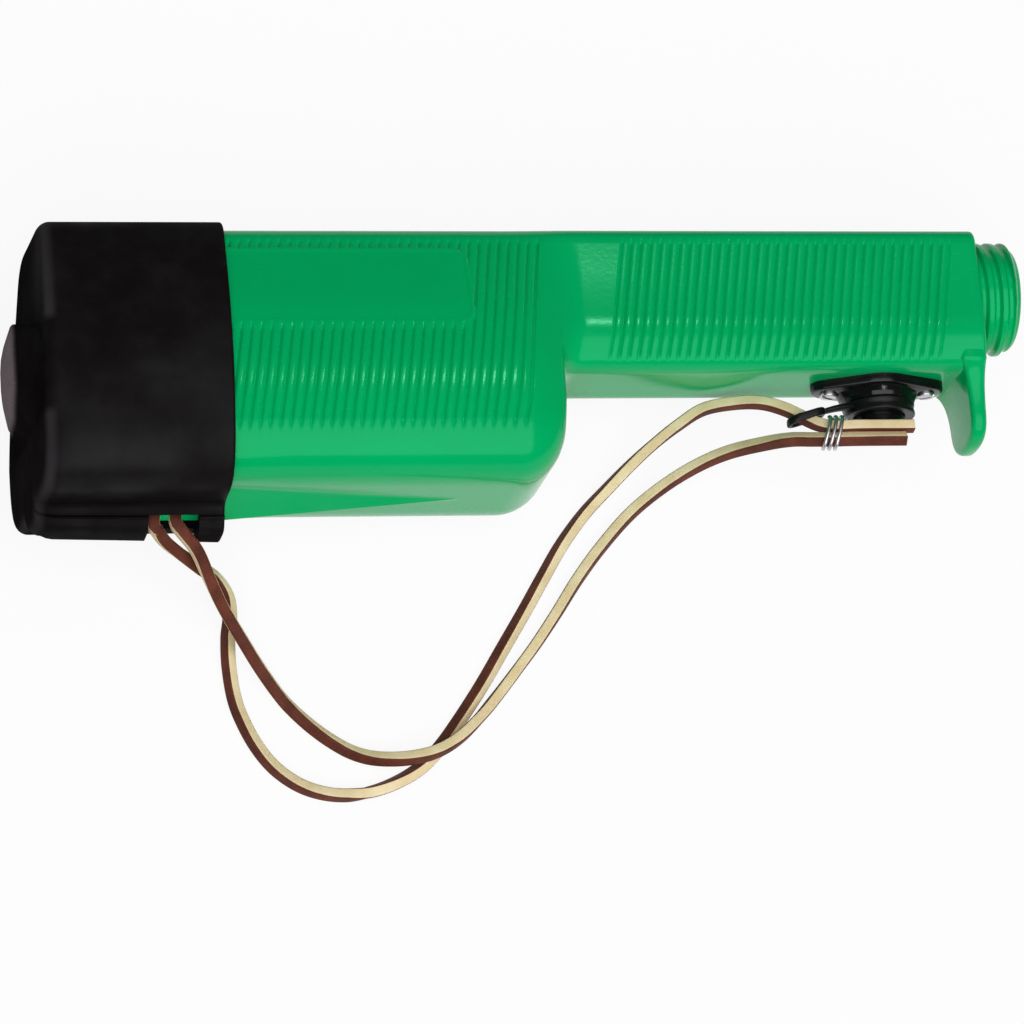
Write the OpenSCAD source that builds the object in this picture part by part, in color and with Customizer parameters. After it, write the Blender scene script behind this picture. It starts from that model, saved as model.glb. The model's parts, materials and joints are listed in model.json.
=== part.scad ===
// Handle of an electric stock prod: a deep battery body and a slim grip moulded as two halves,
// a rubber boot over the battery end, a thumb switch under the grip and a threaded front for a wand.
// It lies on its left flank: +X runs to the wand, +Y to the top of the grip, +Z up to its right flank.

/* [Case] */
// Wall thickness of the moulded case
case_wall = 2.4; // [2.1:0.1:2.8]
// Thickness of the wall at the front of the grip
front_wall = 4; // [3:0.5:6]
// Length of the deep battery body
body_length = 142; // [140:1:160]
// Length of the slim grip in front of the body
grip_length = 123; // [115:1:140]
// Height of the case top above the wand axis
top_height = 16.5; // [16.2:0.1:19]
// Depth of the body underside below the wand axis
body_depth = 58; // [57.6:0.2:62]
// Depth of the grip underside below the wand axis
grip_depth = 25.2; // [24.6:0.2:28]
// Half width of the body at its widest line
body_half_width = 29.6; // [29.5:0.1:32]
// Half width of the grip at its widest line
grip_half_width = 18.5; // [17.5:0.1:20]
// Depth of the keel under the rear of the body
keel_depth = 5.5; // [4:0.1:6]
// Half width of the keel
keel_half_width = 12; // [9:0.5:12.5]
// Length over which the keel fades out in front of the boot
keel_fade = 69; // [50:1:72]
// Rounding where the body underside meets its front
body_front_round = 14; // [10:0.5:14.5]
// Rounding where the body front meets the grip underside
grip_root_round = 6; // [4:0.5:8]
// Distance between the main grooves of the ribbed flanks
groove_pitch = 8.4; // [7:0.1:12]
// Width of such a groove
groove_width = 1.8; // [1.2:0.1:2.6]
// Depth of such a groove
groove_depth = 0.6; // [0.3:0.1:1]

/* [Finger guard] */
// Thickness of the guard plate under the front of the grip
guard_thickness = 4.2; // [3:0.2:6]
// Width of the guard plate
guard_width = 21; // [16:0.5:23]
// Depth of the guard tip below the wand axis
guard_depth = 45.4; // [42:0.2:52]

/* [Wand thread] */
// Crest diameter of the wand thread
thread_diameter = 32.3; // [31.6:0.1:34]
// Pitch of the wand thread
thread_pitch = 4; // [3.6:0.1:4.4]
// Depth of the thread groove
thread_depth = 1.4; // [0.8:0.1:1.6]
// Length of the threaded stub
stub_length = 12.5; // [12:0.5:16]
// Diameter of the socket that the wand plug enters
socket_diameter = 25; // [22:0.2:25.4]
// Depth of that socket
socket_depth = 10.5; // [9:0.5:11]

/* [Rubber boot] */
// Wall thickness of the boot
boot_wall = 2.8; // [2.2:0.1:3.4]
// Length of case that the boot covers
boot_cover = 49; // [45:0.5:55]
// Depth of the strap channel below the case underside
boot_channel = 6.6; // [6.2:0.1:8]
// Lean of the boot mouth, top forward, in degrees
boot_mouth_lean = 1.5; // [0:0.5:4]
// Rounding of the boot's end edges
boot_end_round = 6; // [4:0.5:8]
// How far the nose stands out of the boot end
nose_length = 6.8; // [4:0.2:9]
// Width of the nose
nose_width = 21; // [16:0.5:24]
// Height of the nose
nose_height = 31; // [24:0.5:34]
// Height of the nose centre below the wand axis
nose_drop = 21; // [18:0.5:26]

/* [Batteries] */
// Diameter of a cell
cell_diameter = 26.2; // [25:0.1:26.2]
// Length of a cell
cell_length = 50; // [49:0.1:50.5]

/* [Switch] */
// Distance of the switch axis behind the front of the grip
switch_setback = 28.4; // [27:0.2:34]
// Diameter of the push button
button_diameter = 14; // [10:0.2:14.4]
// How far the button stands out of the switch
button_reach = 6.5; // [5:0.1:8]
// Travel of the button
button_travel = 3; // [2:0.1:3.2]
// Spacing of the two flange screws
screw_spacing = 28.4; // [27:0.2:30]
// Diameter of the flange disc
flange_diameter = 22; // [21.6:0.2:23]
// Thickness of the flange
flange_thickness = 2.5; // [2:0.1:3.2]

/* [Strap] */
// Thickness of the square lace
lace_size = 3.4; // [3:0.1:3.5]
// Distance of the strap pin in front of the case rear
strap_pin_setback = 33; // [30:0.5:34]
// Diameter of the strap pin
strap_pin_diameter = 3; // [2.5:0.1:3.2]
// Wire diameter of the clip that binds the lace ends
clip_wire = 1; // [0.8:0.1:1.1]

/* [Hidden] */
$fn = 48;
// Colours
GREEN = [0.0, 0.40, 0.12];
RUBBER = [0.03, 0.03, 0.03];
BLACK = [0.05, 0.05, 0.05];
BRASS = [0.75, 0.6, 0.3];
STEEL = [0.7, 0.7, 0.7];
LEATHER = [0.3, 0.13, 0.08];
CREAM = [0.8, 0.75, 0.6];
BOARD = [0.05, 0.3, 0.2];
// Clearances: between bodies that move apart, between seated pieces, and a bite that fuses two shapes
boot_gap = 0.3;
slide_gap = 0.5;
seat_gap = 0.1;
running_gap = 0.05;
bite = 0.6;
// How far a cut reaches past a face, and a length beyond the whole object
over = 1;
big = 400;
// Section of the case, as half widths and heights
top_half_width = 15;
grip_top_half_width = 15.6;
upper_break_in = 4.2;
upper_break_rise = 46.3;
wide_line_rise = 27;
upper_break_y = upper_break_rise - body_depth;
wide_line_y = wide_line_rise - body_depth;
body_foot_in = 1.8;
grip_mid_in = 1.4;
grip_mid_y = -3;
grip_break_y = -15.4;
grip_foot_in = 2.6;
top_soft = 5;
upper_soft = 6;
wide_soft = 9;
body_foot_soft = 15;
grip_foot_soft = 6;
corner_steps = 4;
soft_share = 0.8;
round_share = 0.85;
shoulder_before = 13;
shoulder_after = 8;
shoulder_steps = 7;
station_nudge = 0.05;
// Main grooves: their lean, the height that they lean about, and how far they stay from boot, shoulder,
// grip root, front and label panel
groove_lean = 10;
groove_pivot_y = 5;
groove_boot_room = 3;
groove_shoulder_room = 21.8;
groove_root_room = 19;
groove_front_room = 11;
panel_end_room = 25.3;
// Stations along X, with the nose of the boot at zero
boot_end_gap = 1.4;
boot_end_x = nose_length;
case_rear_x = boot_end_x + boot_wall + boot_end_gap;
body_front_x = case_rear_x + body_length;
grip_front_x = body_front_x + grip_length;
thread_end_x = grip_front_x + stub_length;
boot_mouth_x = case_rear_x + boot_cover;
switch_x = grip_front_x - switch_setback;
strap_x = case_rear_x + strap_pin_setback;
// Frame: the middle of the box in X and Y, with the left flank of the boot on the ground
boot_proud = boot_gap + boot_wall;
frame_x = thread_end_x / 2;
boot_bottom = body_depth + boot_channel + boot_proud;
frame_y = (top_height + boot_proud - boot_bottom) / 2;
frame_z = max([for (p = half_section(boot_corners(boot_proud))) p[0]]);
// Battery bay
shelf_thickness = 2;
plate = 2.4;
contact_sheet = 0.6;
cell_gap = 0.1;
cell_radius = cell_diameter / 2;
cell_z = cell_radius + cell_gap;
carrier_setback = 1.2;
contact_room = 2.2;
contact_tail = 3;
carrier_rear_x = case_rear_x + carrier_setback;
cell_start_x = carrier_rear_x + plate + contact_sheet + cell_gap;
cell_pitch = cell_length + cell_gap;
carrier_front_x = cell_start_x + 2 * cell_pitch + contact_sheet;
carrier_floor = 1.8;
carrier_room = 0.2;
bulkhead_x = carrier_front_x + plate + contact_room;
bulkhead_front_x = bulkhead_x + plate;
tail_x = bulkhead_front_x + contact_tail;
contact_radius = 4;
bay_floor_y = -body_depth + case_wall;
// Strap pocket in the body underside
pocket_wall = 1.6;
pocket_end_room = 0.6;
pocket_side_room = 2.4;
pocket_top_room = 0.3;
pin_rise = 0.4;
pin_cover = 0.5;
strap_pin_radius = strap_pin_diameter / 2;
lace_radius = lace_size / 2;
loop_radius = strap_pin_radius + lace_radius + seat_gap;
pocket_half_x = loop_radius + lace_radius + pocket_end_room;
pocket_half_z = lace_radius + pocket_side_room;
strap_pin_y = -body_depth + pin_rise;
pocket_top = strap_pin_y + loop_radius + lace_radius + pocket_top_room;
// Battery bay, worked up from the pocket: carrier floor, cells, shelf
carrier_floor_y = pocket_top + pocket_wall + slide_gap + carrier_room + carrier_floor;
cell_y = carrier_floor_y + seat_gap + cell_radius;
shelf_bottom = cell_y + cell_radius + slide_gap;
shelf_top = shelf_bottom + shelf_thickness;
// Electronics
board_half_width = 19;
board_thickness = 1.6;
board_setback = 13;
board_length = 76;
board_start_x = case_rear_x + board_setback;
board_end_x = board_start_x + board_length;
board_y = shelf_top + seat_gap;
coil_radius = 11;
coil_length = 15.8;
coil_start_x = bulkhead_front_x + seat_gap;
coil_y = bay_floor_y + 2 * seat_gap + coil_radius;
// Channel under the boot for the strap, with a window across it
channel_half = 6.5;
channel_set_in = 1.4;
channel_rise = 3.4;
channel_round = 5;
window_half_x = 7.2;
window_shift = 1.6;
window_top_room = 3;
// Wand coupling
thread_radius = thread_diameter / 2;
socket_radius = socket_diameter / 2;
neck_radius = 11.5;
neck_flange_radius = 13.2;
neck_flange = 2.5;
plug_radius = 8.5;
plug_flange_radius = 10.5;
plug_flange = 2;
plug_tail = 5;
stud_radius = 1.8;
stud_z = 4.2;
stud_tail = 4;
socket_floor_x = thread_end_x - socket_depth;
coupling_rear_x = grip_front_x - front_wall - seat_gap - neck_flange;
// Switch, with heights measured from the wand axis
gasket = 0.6;
flange_top = -grip_depth - gasket;
flange_bottom = flange_top - flange_thickness;
sleeve_radius = 9.1;
bell_radius = 9.1;
bell_length = 4.6;
bell_end = flange_bottom - bell_length;
bell_lip = 1.5;
button_radius = button_diameter / 2;
button_step = 1;
button_step_room = 0.25;
button_flange_radius = button_radius + button_step;
button_flange = 1.5;
bell_bore = button_flange_radius + button_step_room;
switch_floor = -grip_depth + case_wall;
collar_thickness = 0.8;
collar_length = 3.7;
ear_radius = 5;
screw_radius = 1.45;
screw_head_radius = 2.3;
screw_head = 1.5;
screw_length = 9;
boss_radius = 3.2;
boss_height = 6;
stem_radius = 2;
bridge_radius = 5;
bridge = 0.8;
cavity_radius = 6.5;
switch_cap = 2;
switch_neck = 3.8;
button_seat = bell_end + bell_lip + running_gap;
bridge_rise = 4.6;
bridge_room = 0.3;
bridge_top = switch_floor + switch_neck + bridge_rise;
terminal_end = bridge_top + button_travel + running_gap;
switch_top = terminal_end + bridge_room + switch_cap;
terminal_z = 4;
terminal_width = 3.8;
terminal_thickness = 1.6;
terminal_height = 8;
spring_wire = 0.9;
spring_radius = 5.6;
spring_turns = 4;
// Strap keeper: an oblong loop on an arm of the collar
keeper_reach = 22.6;
keeper_drop = 3.6;
keeper_side = 5;
keeper_half = 5.6;
keeper_height = 6.6;
keeper_slot = 4;
keeper_thickness = 1.8;
// Route of the two lace strands from the boot window to the clip, from the nose end, wand axis and mid-plane
loop_leg_end = -66;
INNER_ROUTE = [[52, -71, -3.5], [56, -76.5, -10.5], [60.5, -83, -17.5], [66, -90.5, -23], [72.5, -99.5, -28],
    [79, -108, -30.2], [86, -115, -30.4], [93.5, -120.5, -30.2], [100.5, -123.8, -29], [108, -125, -27.2],
    [115, -124.6, -26], [121, -122.8, -25.8], [127, -119, -26.4], [133, -113.2, -28], [139, -106.3, -29.6],
    [145, -99, -30.4], [151, -91.5, -30.4], [157.5, -82.5, -30.4], [164, -73, -30.4], [171.5, -63.5, -30.2],
    [180.5, -54, -28.8], [190, -47, -25.4], [199, -42.6, -20], [207, -40.7, -13.5], [215.5, -41, -4.5],
    [221, -42, 2], [226, -43.5, 6.8], [231, -44.3, 9.4], [237, -44.4, 10.1], [244, -44.4, 10.2],
    [252, -44.4, 10.2]];
OUTER_ROUTE = [[43.5, -68.5, -3.5], [48.5, -70.8, -8.5], [54, -73, -13.5], [59, -75, -18], [62.8, -78.8, -23],
    [64, -83.5, -27.6], [63.5, -89, -30], [63.4, -97, -30.4], [64.5, -106.5, -30.4], [67, -114, -30.4],
    [70.5, -120.8, -30.4], [75, -126.5, -30.4], [81, -131, -30.4], [87.5, -133.5, -30.4],
    [94.5, -134.3, -30.4], [102, -133.3, -30.4], [109, -130.8, -30.4], [115.5, -127, -30.4],
    [121.5, -121.2, -30.4], [127.5, -113.5, -30.4], [134.5, -103.5, -30.4], [141.5, -92.5, -30.4],
    [148, -82.3, -30.4], [154, -72.5, -30.4], [160, -63, -30.4], [167, -54, -30], [174, -47, -28.6],
    [181, -40.5, -25.8], [187, -35.8, -21.5], [193, -32, -16.2], [199.5, -29, -10.5], [207.5, -28.8, -5.5],
    [214, -30.2, -1], [219.5, -33, 2.2], [224.5, -36.6, 4.8], [228, -39.4, 7.6], [232, -40.7, 9.4],
    [238, -40.8, 10.2], [246, -40.8, 10.2], [254.5, -40.8, 10.2]];
clip_x = 229;
clip_y = -42.3;
clip_z = 9;
clip_turns = 3;
clip_pitch = 1.7;
clip_room_y = 1.5;
clip_room_z = 1.5;
clip_half_y = lace_size + clip_room_y;
clip_half_z = lace_radius + clip_room_z;
ring_sides = 8;
wire_sides = 6;
curl_steps = 8;
// Leads inside the case
lead_radius = 0.9;
lead_y = board_y + board_thickness + seat_gap + lead_radius;
lead_x = board_end_x - 4;
terminal_lead_y = terminal_end + terminal_height - 1.5;
stud_rear_x = coupling_rear_x - plug_flange - plug_tail - stud_tail;
SWITCH_LEAD = [[lead_x, lead_y, 3], [lead_x + 8, lead_y + 0.5, 3], [body_front_x - 25, -10, 3],
    [body_front_x, -6, 3],
    [body_front_x + 30, -5, 3.4], [switch_x - 30, -5, 3.8], [switch_x - 12, terminal_lead_y, terminal_z],
    [switch_x - terminal_width / 2 - running_gap, terminal_lead_y, terminal_z]];
OUTPUT_LEAD = [[coil_start_x + coil_length + running_gap, coil_y + 4, 5],
    [coil_start_x + coil_length + lead_radius, coil_y + 4, 5], [body_front_x - 11, coil_y + 6, 6],
    [body_front_x - 7, coil_y + 14, 7], [body_front_x - 2, -18, 8], [body_front_x + 6, -5, 9],
    [body_front_x + 18, 3, 9],
    [body_front_x + 40, 5, 9], [switch_x - 20, 5, 8], [switch_x, 3.4, 5.4], [stud_rear_x - 5, 0.4, stud_z],
    [stud_rear_x - running_gap, 0, stud_z]];
BATTERY_LEAD = [[tail_x + running_gap, cell_y, cell_z], [tail_x + lead_radius, cell_y, cell_z],
    [tail_x + 2.4, cell_y + 1.4, cell_z], [tail_x + 2.8, cell_y + 5, cell_z],
    [tail_x + 2, shelf_bottom, cell_z], [tail_x - 1, shelf_top + 2.4, cell_z],
    [tail_x - 6, shelf_top + 3.4, cell_z],
    [board_end_x + 4, lead_y + 0.6, cell_z], [lead_x, lead_y, cell_z]];

// Plain helpers
function mix(a, b, t) = a + (b - a) * t;
function clamp(t) = min(1, max(0, t));
function ease(t) = let (c = clamp(t)) c * c * (3 - 2 * c);
function unit(v) = v / norm(v);
function flat_list(lists) = [for (l = lists) each l];

// Half section of the body, from the top at the mid-plane round the flank to the underside:
// [half width, height, softness of the corner]
function body_corners() = [[0, top_height, 0], [top_half_width, top_height, top_soft],
    [body_half_width - upper_break_in, upper_break_y, upper_soft],
    [body_half_width, wide_line_y, wide_soft],
    [body_half_width - body_foot_in, -body_depth, body_foot_soft], [0, -body_depth, 0]];
function grip_corners() = [[0, top_height, 0], [grip_top_half_width, top_height, top_soft],
    [grip_half_width - grip_mid_in, grip_mid_y, upper_soft],
    [grip_half_width, grip_break_y, top_soft],
    [grip_half_width - grip_foot_in, -grip_depth, grip_foot_soft], [0, -grip_depth, 0]];

// Share of the way from body to grip: a round, a front face and a root for the underside,
// and a slow S for the flanks
function foot_share(x) = let (h = body_depth - grip_depth, a = body_front_round, b = grip_root_round,
        u = x - body_front_x)
    u <= -a ? 0 : u <= 0 ? (a - sqrt(a * a - (u + a) * (u + a))) / h
    : u < b ? 1 - (b - sqrt(b * b - (b - u) * (b - u))) / h : 1;
function flank_share(x) = ease((x - body_front_x + shoulder_before) / (shoulder_before + shoulder_after));
function case_corners(x) = let (b = body_corners(), g = grip_corners(), f = foot_share(x), s = flank_share(x))
    [for (i = [0:5]) mix(b[i], g[i], i < 4 ? s : f)];

// Corners moved inwards by w along the bisectors, and outwards where w is below zero
function inset(c, w) = let (n = len(c) - 1)
    [for (i = [0:n])
        i == 0 ? [0, c[0][1] - w, 0] : i == n ? [0, c[n][1] + w, 0]
        : let (p = unit([c[i][0] - c[i - 1][0], c[i][1] - c[i - 1][1]]),
               q = unit([c[i + 1][0] - c[i][0], c[i + 1][1] - c[i][1]]),
               a = [p[1], -p[0]], b = [q[1], -q[0]], m = (a + b) * w / (1 + a * b))
          [c[i][0] + m[0], c[i][1] + m[1], max(1, c[i][2] - w * soft_share)]];

// A corner as a curve from one edge to the next, and the whole half section as points
function rounded(a, v, b) = let (d = v[2], va = [a[0] - v[0], a[1] - v[1]], vb = [b[0] - v[0], b[1] - v[1]],
        c = [v[0], v[1]], p = c + unit(va) * min(d, norm(va) * round_share * d / (d + a[2])),
        q = c + unit(vb) * min(d, norm(vb) * round_share * d / (d + b[2])))
    [for (i = [0:corner_steps]) let (t = i / corner_steps)
        (1 - t) * (1 - t) * p + 2 * t * (1 - t) * c + t * t * q];
function half_section(c) = let (n = len(c) - 1)
    concat([[0, c[0][1]]], flat_list([for (i = [1:n - 1]) rounded(c[i - 1], c[i], c[i + 1])]),
        [[0, c[n][1]]]);
function full_section(h) = concat(h, [for (i = [len(h) - 2:-1:1]) [-h[i][0], h[i][1]]]);
function quad(a, b, c, d) = [[a, b, c], [a, c, d]];

// Rows of a half section where a groove starts, below the top corner or the label panel, and where it ends
groove_first_row = corner_steps + 1;
panel_first_row = 2 * (corner_steps + 1) + 1;
groove_last_row = 3 * (corner_steps + 1) + 1;
// Plain stations of the case: few where it runs straight, many through the shoulder
function plain_stations() = concat([case_rear_x],
    [for (i = [0:shoulder_steps])
        body_front_x - body_front_round * cos(90 * i / shoulder_steps) - station_nudge],
    [for (i = [0:shoulder_steps])
        body_front_x + grip_root_round * (1 - cos(90 * i / shoulder_steps)) + station_nudge],
    [body_front_x + shoulder_after + over, grip_front_x]);
// Three stations to a groove: [place, depth, lean, number of the plain station before it]
function groove_stations(places, before) = [for (x = places) for (side = [-1:1])
    [x + side * groove_width / 2, side == 0 ? groove_depth : 0, tan(groove_lean), before]];
function body_grooves() = let (front = body_front_x - groove_shoulder_room,
        count = floor((front - boot_mouth_x - groove_boot_room) / groove_pitch))
    [for (i = [count:-1:0]) front - i * groove_pitch];
function grip_grooves() =
    [for (x = [body_front_x + groove_root_room:groove_pitch:grip_front_x - groove_front_room]) x];
function case_stations() = let (p = plain_stations(), n = len(p) - 1)
    concat([[p[0], 0, 0, 0]], groove_stations(body_grooves(), 0), [for (i = [1:n - 1]) [p[i], 0, 0, i]],
        groove_stations(grip_grooves(), n - 1), [[p[n], 0, 0, n]]);
// Outer points at a station: the plain section, sunk by the groove's depth along its rows, and leaning with it
function case_ring(s) = let (plain = half_section(case_corners(s[0])),
        deep = half_section(inset(case_corners(s[0]), s[1])),
        first = s[0] < body_front_x - panel_end_room ? panel_first_row : groove_first_row)
    [for (j = [0:len(plain) - 1]) let (p = j >= first && j <= groove_last_row ? deep[j] : plain[j])
        [s[0] + s[2] * (p[1] - groove_pivot_y), p[1], p[0]]];

// Shell of the right half: an outer and an inner sheet of points joined along their rims
module case_shell() {
    stations = case_stations();
    plain = plain_stations();
    last = len(stations) - 1;
    end = len(plain) - 1;
    outer = [for (s = stations) case_ring(s)];
    inner = [for (i = [0:end])
        let (x = i == end ? grip_front_x - front_wall : plain[i] - (i > 0 ? case_wall : 0))
        [for (p = half_section(inset(case_corners(plain[i]), case_wall))) [x, p[1], p[0]]]];
    k = len(outer[0]);
    m = k * (last + 1);
    starts = [for (s = [0:last]) if (s == 0 || stations[s][3] > stations[s - 1][3]) s];
    faces = flat_list(concat(
        [for (s = [0:last - 1]) for (j = [0:k - 2])
            quad(s * k + j, (s + 1) * k + j, (s + 1) * k + j + 1, s * k + j + 1)],
        [for (s = [0:end - 1]) for (j = [0:k - 2])
            quad(m + s * k + j, m + s * k + j + 1, m + (s + 1) * k + j + 1, m + (s + 1) * k + j)],
        [for (s = [0:last - 1]) let (b = m + stations[s][3] * k)
            [[s * k, b, (s + 1) * k], [s * k + k - 1, (s + 1) * k + k - 1, b + k - 1]]],
        [for (i = [1:end]) let (a = starts[i] * k, b = m + i * k)
            [[a, b - k, b], [a + k - 1, b + k - 1, b - 1]]],
        [for (j = [0:k - 2]) quad(j, j + 1, m + j + 1, m + j)],
        [for (j = [1:k - 2]) [[last * k, last * k + j + 1, last * k + j]]],
        [for (j = [1:k - 2]) [[m + end * k, m + end * k + j, m + end * k + j + 1]]],
        [quad(last * k, m + end * k, m + end * k + k - 1, last * k + k - 1)]));
    polyhedron(flat_list(concat(outer, inner)), faces, convexity = 6);
}

// Tube along points, with flat ends
module tube(points, radius, sides, up = [0, 0, 1]) {
    last = len(points) - 1;
    rings = [for (i = [0:last]) let (t = unit(points[min(last, i + 1)] - points[max(0, i - 1)]),
            r = unit(cross(t, up)), u = cross(r, t))
        [for (j = [0:sides - 1]) points[i] + radius * (cos(360 * j / sides) * r + sin(360 * j / sides) * u)]];
    faces = flat_list(concat(
        [for (s = [0:last - 1]) for (j = [0:sides - 1]) let (n = (j + 1) % sides)
            quad(s * sides + j, s * sides + n, (s + 1) * sides + n, (s + 1) * sides + j)],
        [for (j = [1:sides - 2]) [[0, j + 1, j]]],
        [for (j = [1:sides - 2]) [[last * sides, last * sides + j, last * sides + j + 1]]]));
    polyhedron(flat_list(rings), faces, convexity = 8);
}

// Cylinders along X, Y and Z, and a slab of the battery bay's section between two stations
module rod_x(x0, x1, radius) translate([x0, 0, 0]) rotate([0, 90, 0]) cylinder(h = x1 - x0, r = radius);
module rod_y(y0, y1, radius) translate([0, y0, 0]) rotate([-90, 0, 0]) cylinder(h = y1 - y0, r = radius);
module rod_z(z0, z1, radius) translate([0, 0, z0]) cylinder(h = z1 - z0, r = radius);
module bay_slab(x0, x1, gap) translate([x0, 0, 0])
    multmatrix([[0, 0, 1, 0], [0, 1, 0, 0], [-1, 0, 0, 0], [0, 0, 0, 1]])
    linear_extrude(x1 - x0) polygon(full_section(half_section(inset(body_corners(), case_wall + gap))));
module band(x0, x1, y0, y1) translate([x0, y0, -big / 2]) cube([x1 - x0, y1 - y0, big]);
module right_side() translate([-big / 2, -big / 2, 0]) cube(big);
module place() translate([-frame_x, -frame_y, frame_z]) children();

// Case: shell, guard, screw bosses and strap pocket, then the holes for coupling, switch, screws and strap
module guard_half() {
    half = guard_width / 2;
    tip = -guard_depth + half;
    setback = 0.3;
    translate([grip_front_x - guard_thickness - setback, 0, 0])
        multmatrix([[0, 0, 1, 0], [0, 1, 0, 0], [1, 0, 0, 0], [0, 0, 0, 1]])
        linear_extrude(guard_thickness) intersection() {
            union() {
                translate([0, tip]) circle(half);
                translate([-half, tip]) square([guard_width, -grip_depth + case_wall / 2 - tip]);
            }
            translate([0, -big / 2]) square(big);
        }
}
// Half of the keel: a ridge of even section under the boot that fades out in front of it
module keel_half() {
    sink = 0.3;
    root = 1.2;
    stations = [[case_rear_x, 1], [boot_mouth_x, 1], [boot_mouth_x + keel_fade, 0]];
    points = flat_list([for (s = stations) [[s[0], -body_depth + root, 0],
        [s[0], -body_depth + root, root + s[1] * keel_half_width],
        [s[0], -body_depth + sink - s[1] * (keel_depth + sink), 0]]]);
    faces = flat_list(concat([[[0, 1, 2], [6, 8, 7]]],
        [for (i = [0, 3]) for (j = [0:2]) let (n = (j + 1) % 3) quad(i + j, i + 3 + j, i + 3 + n, i + n)]));
    polyhedron(points, faces, convexity = 4);
}
module screw_places() for (side = [-1, 1]) translate([switch_x + side * screw_spacing / 2, 0, 0]) children();
module case_half() {
    difference() {
        union() {
            case_shell();
            guard_half();
            keel_half();
            intersection() {
                union() {
                    screw_places() rod_y(switch_floor - bite, switch_floor + boss_height, boss_radius);
                    translate([strap_x - pocket_half_x - pocket_wall, bay_floor_y - bite, -big / 4])
                        cube([2 * (pocket_half_x + pocket_wall), pocket_top + pocket_wall - bay_floor_y + bite,
                            big / 4 + pocket_half_z + pocket_wall]);
                }
                right_side();
            }
        }
        rod_x(grip_front_x - front_wall - over, grip_front_x + over, neck_radius + seat_gap);
        translate([switch_x, 0, 0]) rod_y(-grip_depth - over, switch_floor + over, sleeve_radius + seat_gap);
        screw_places() rod_y(-grip_depth - over, switch_floor + boss_height + over, screw_radius + running_gap);
        translate([strap_x - pocket_half_x, -body_depth - keel_depth - over, -pocket_half_z])
            cube([2 * pocket_half_x, pocket_top + body_depth + keel_depth + over, 2 * pocket_half_z]);
        translate([strap_x, strap_pin_y, 0])
            rod_z(-over, pocket_half_z + pocket_wall - pin_cover, strap_pin_radius + running_gap);
    }
}
module case_right() { color(GREEN) place() case_half(); }
module case_left() { color(GREEN) place() mirror([0, 0, 1]) case_half(); }

// Wand coupling: stub, neck and inner flange turned as one, with a right-hand groove
module thread_groove() {
    steps = 24;
    turns = (stub_length + thread_pitch) / thread_pitch;
    root_share = 0.14;
    mouth_share = 0.36;
    start_share = 0.75;
    half_root = thread_pitch * root_share;
    half_mouth = thread_pitch * mouth_share;
    shape = [[-thread_depth, -half_root], [-thread_depth, half_root], [bite, half_mouth], [bite, -half_mouth]];
    count = floor(turns * steps);
    start = grip_front_x + thread_pitch * start_share;
    rings = [for (i = [0:count]) let (a = 360 * i / steps, x = start + thread_pitch * i / steps)
        [for (p = shape) [x + p[1], (thread_radius + p[0]) * cos(a), (thread_radius + p[0]) * sin(a)]]];
    sides = len(shape);
    faces = flat_list(concat(
        [for (s = [0:count - 1]) for (j = [0:sides - 1]) let (n = (j + 1) % sides)
            quad(s * sides + j, (s + 1) * sides + j, (s + 1) * sides + n, s * sides + n)],
        [quad(0, 1, 2, 3), quad(count * sides + 3, count * sides + 2, count * sides + 1, count * sides)]));
    polyhedron(flat_list(rings), faces, convexity = 8);
}
module wand_coupling() {
    color(GREEN) place() difference() {
        union() {
            rod_x(grip_front_x, thread_end_x, thread_radius);
            rod_x(coupling_rear_x, grip_front_x + over, neck_radius);
            rod_x(coupling_rear_x, coupling_rear_x + neck_flange, neck_flange_radius);
        }
        rod_x(socket_floor_x, thread_end_x + over, socket_radius);
        rod_x(coupling_rear_x - over, socket_floor_x + over, plug_radius + running_gap);
        thread_groove();
    }
}
module contact_plug() {
    color(BLACK) place() difference() {
        union() {
            rod_x(coupling_rear_x - seat_gap - plug_flange, socket_floor_x, plug_radius);
            rod_x(coupling_rear_x - seat_gap - plug_flange, coupling_rear_x - seat_gap, plug_flange_radius);
            rod_x(coupling_rear_x - plug_flange - plug_tail, coupling_rear_x - plug_flange, plug_radius);
        }
        stud_places() rod_x(coupling_rear_x - 2 * plug_tail, thread_end_x, stud_radius + running_gap);
    }
}
module stud_places() for (side = [-1, 1]) translate([0, 0, side * stud_z]) children();
module output_contacts() {
    color(BRASS) place() stud_places()
        rod_x(coupling_rear_x - plug_flange - plug_tail - stud_tail, socket_floor_x - running_gap, stud_radius);
}

// Inside: the divider, its contacts, the board and the coil
module battery_divider() {
    color(BLACK) place() union() {
        intersection() {
            bay_slab(carrier_rear_x, bulkhead_front_x, seat_gap);
            band(carrier_rear_x, bulkhead_front_x, shelf_bottom, shelf_top);
        }
        intersection() {
            bay_slab(carrier_rear_x, carrier_rear_x + plate, seat_gap);
            band(carrier_rear_x, carrier_rear_x + plate, shelf_top - bite, big);
        }
        difference() {
            intersection() {
                bay_slab(bulkhead_x, bulkhead_front_x, seat_gap);
                band(bulkhead_x, bulkhead_front_x, -big, shelf_bottom + bite);
            }
            cell_columns() rod_x(bulkhead_x - over, bulkhead_front_x + over, stud_radius + running_gap);
        }
    }
}
module cell_columns() for (side = [-1, 1]) translate([0, cell_y, side * cell_z]) children();
module bay_contacts() {
    color(BRASS) place() cell_columns() union() {
        rod_x(bulkhead_x - contact_sheet - seat_gap, bulkhead_x - seat_gap, contact_radius);
        rod_x(bulkhead_x - contact_sheet - seat_gap, tail_x, stud_radius);
    }
}
module circuit_board() {
    color(BOARD) place() translate([board_start_x, board_y, -board_half_width])
        cube([board_end_x - board_start_x, board_thickness, 2 * board_half_width]);
}
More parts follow.
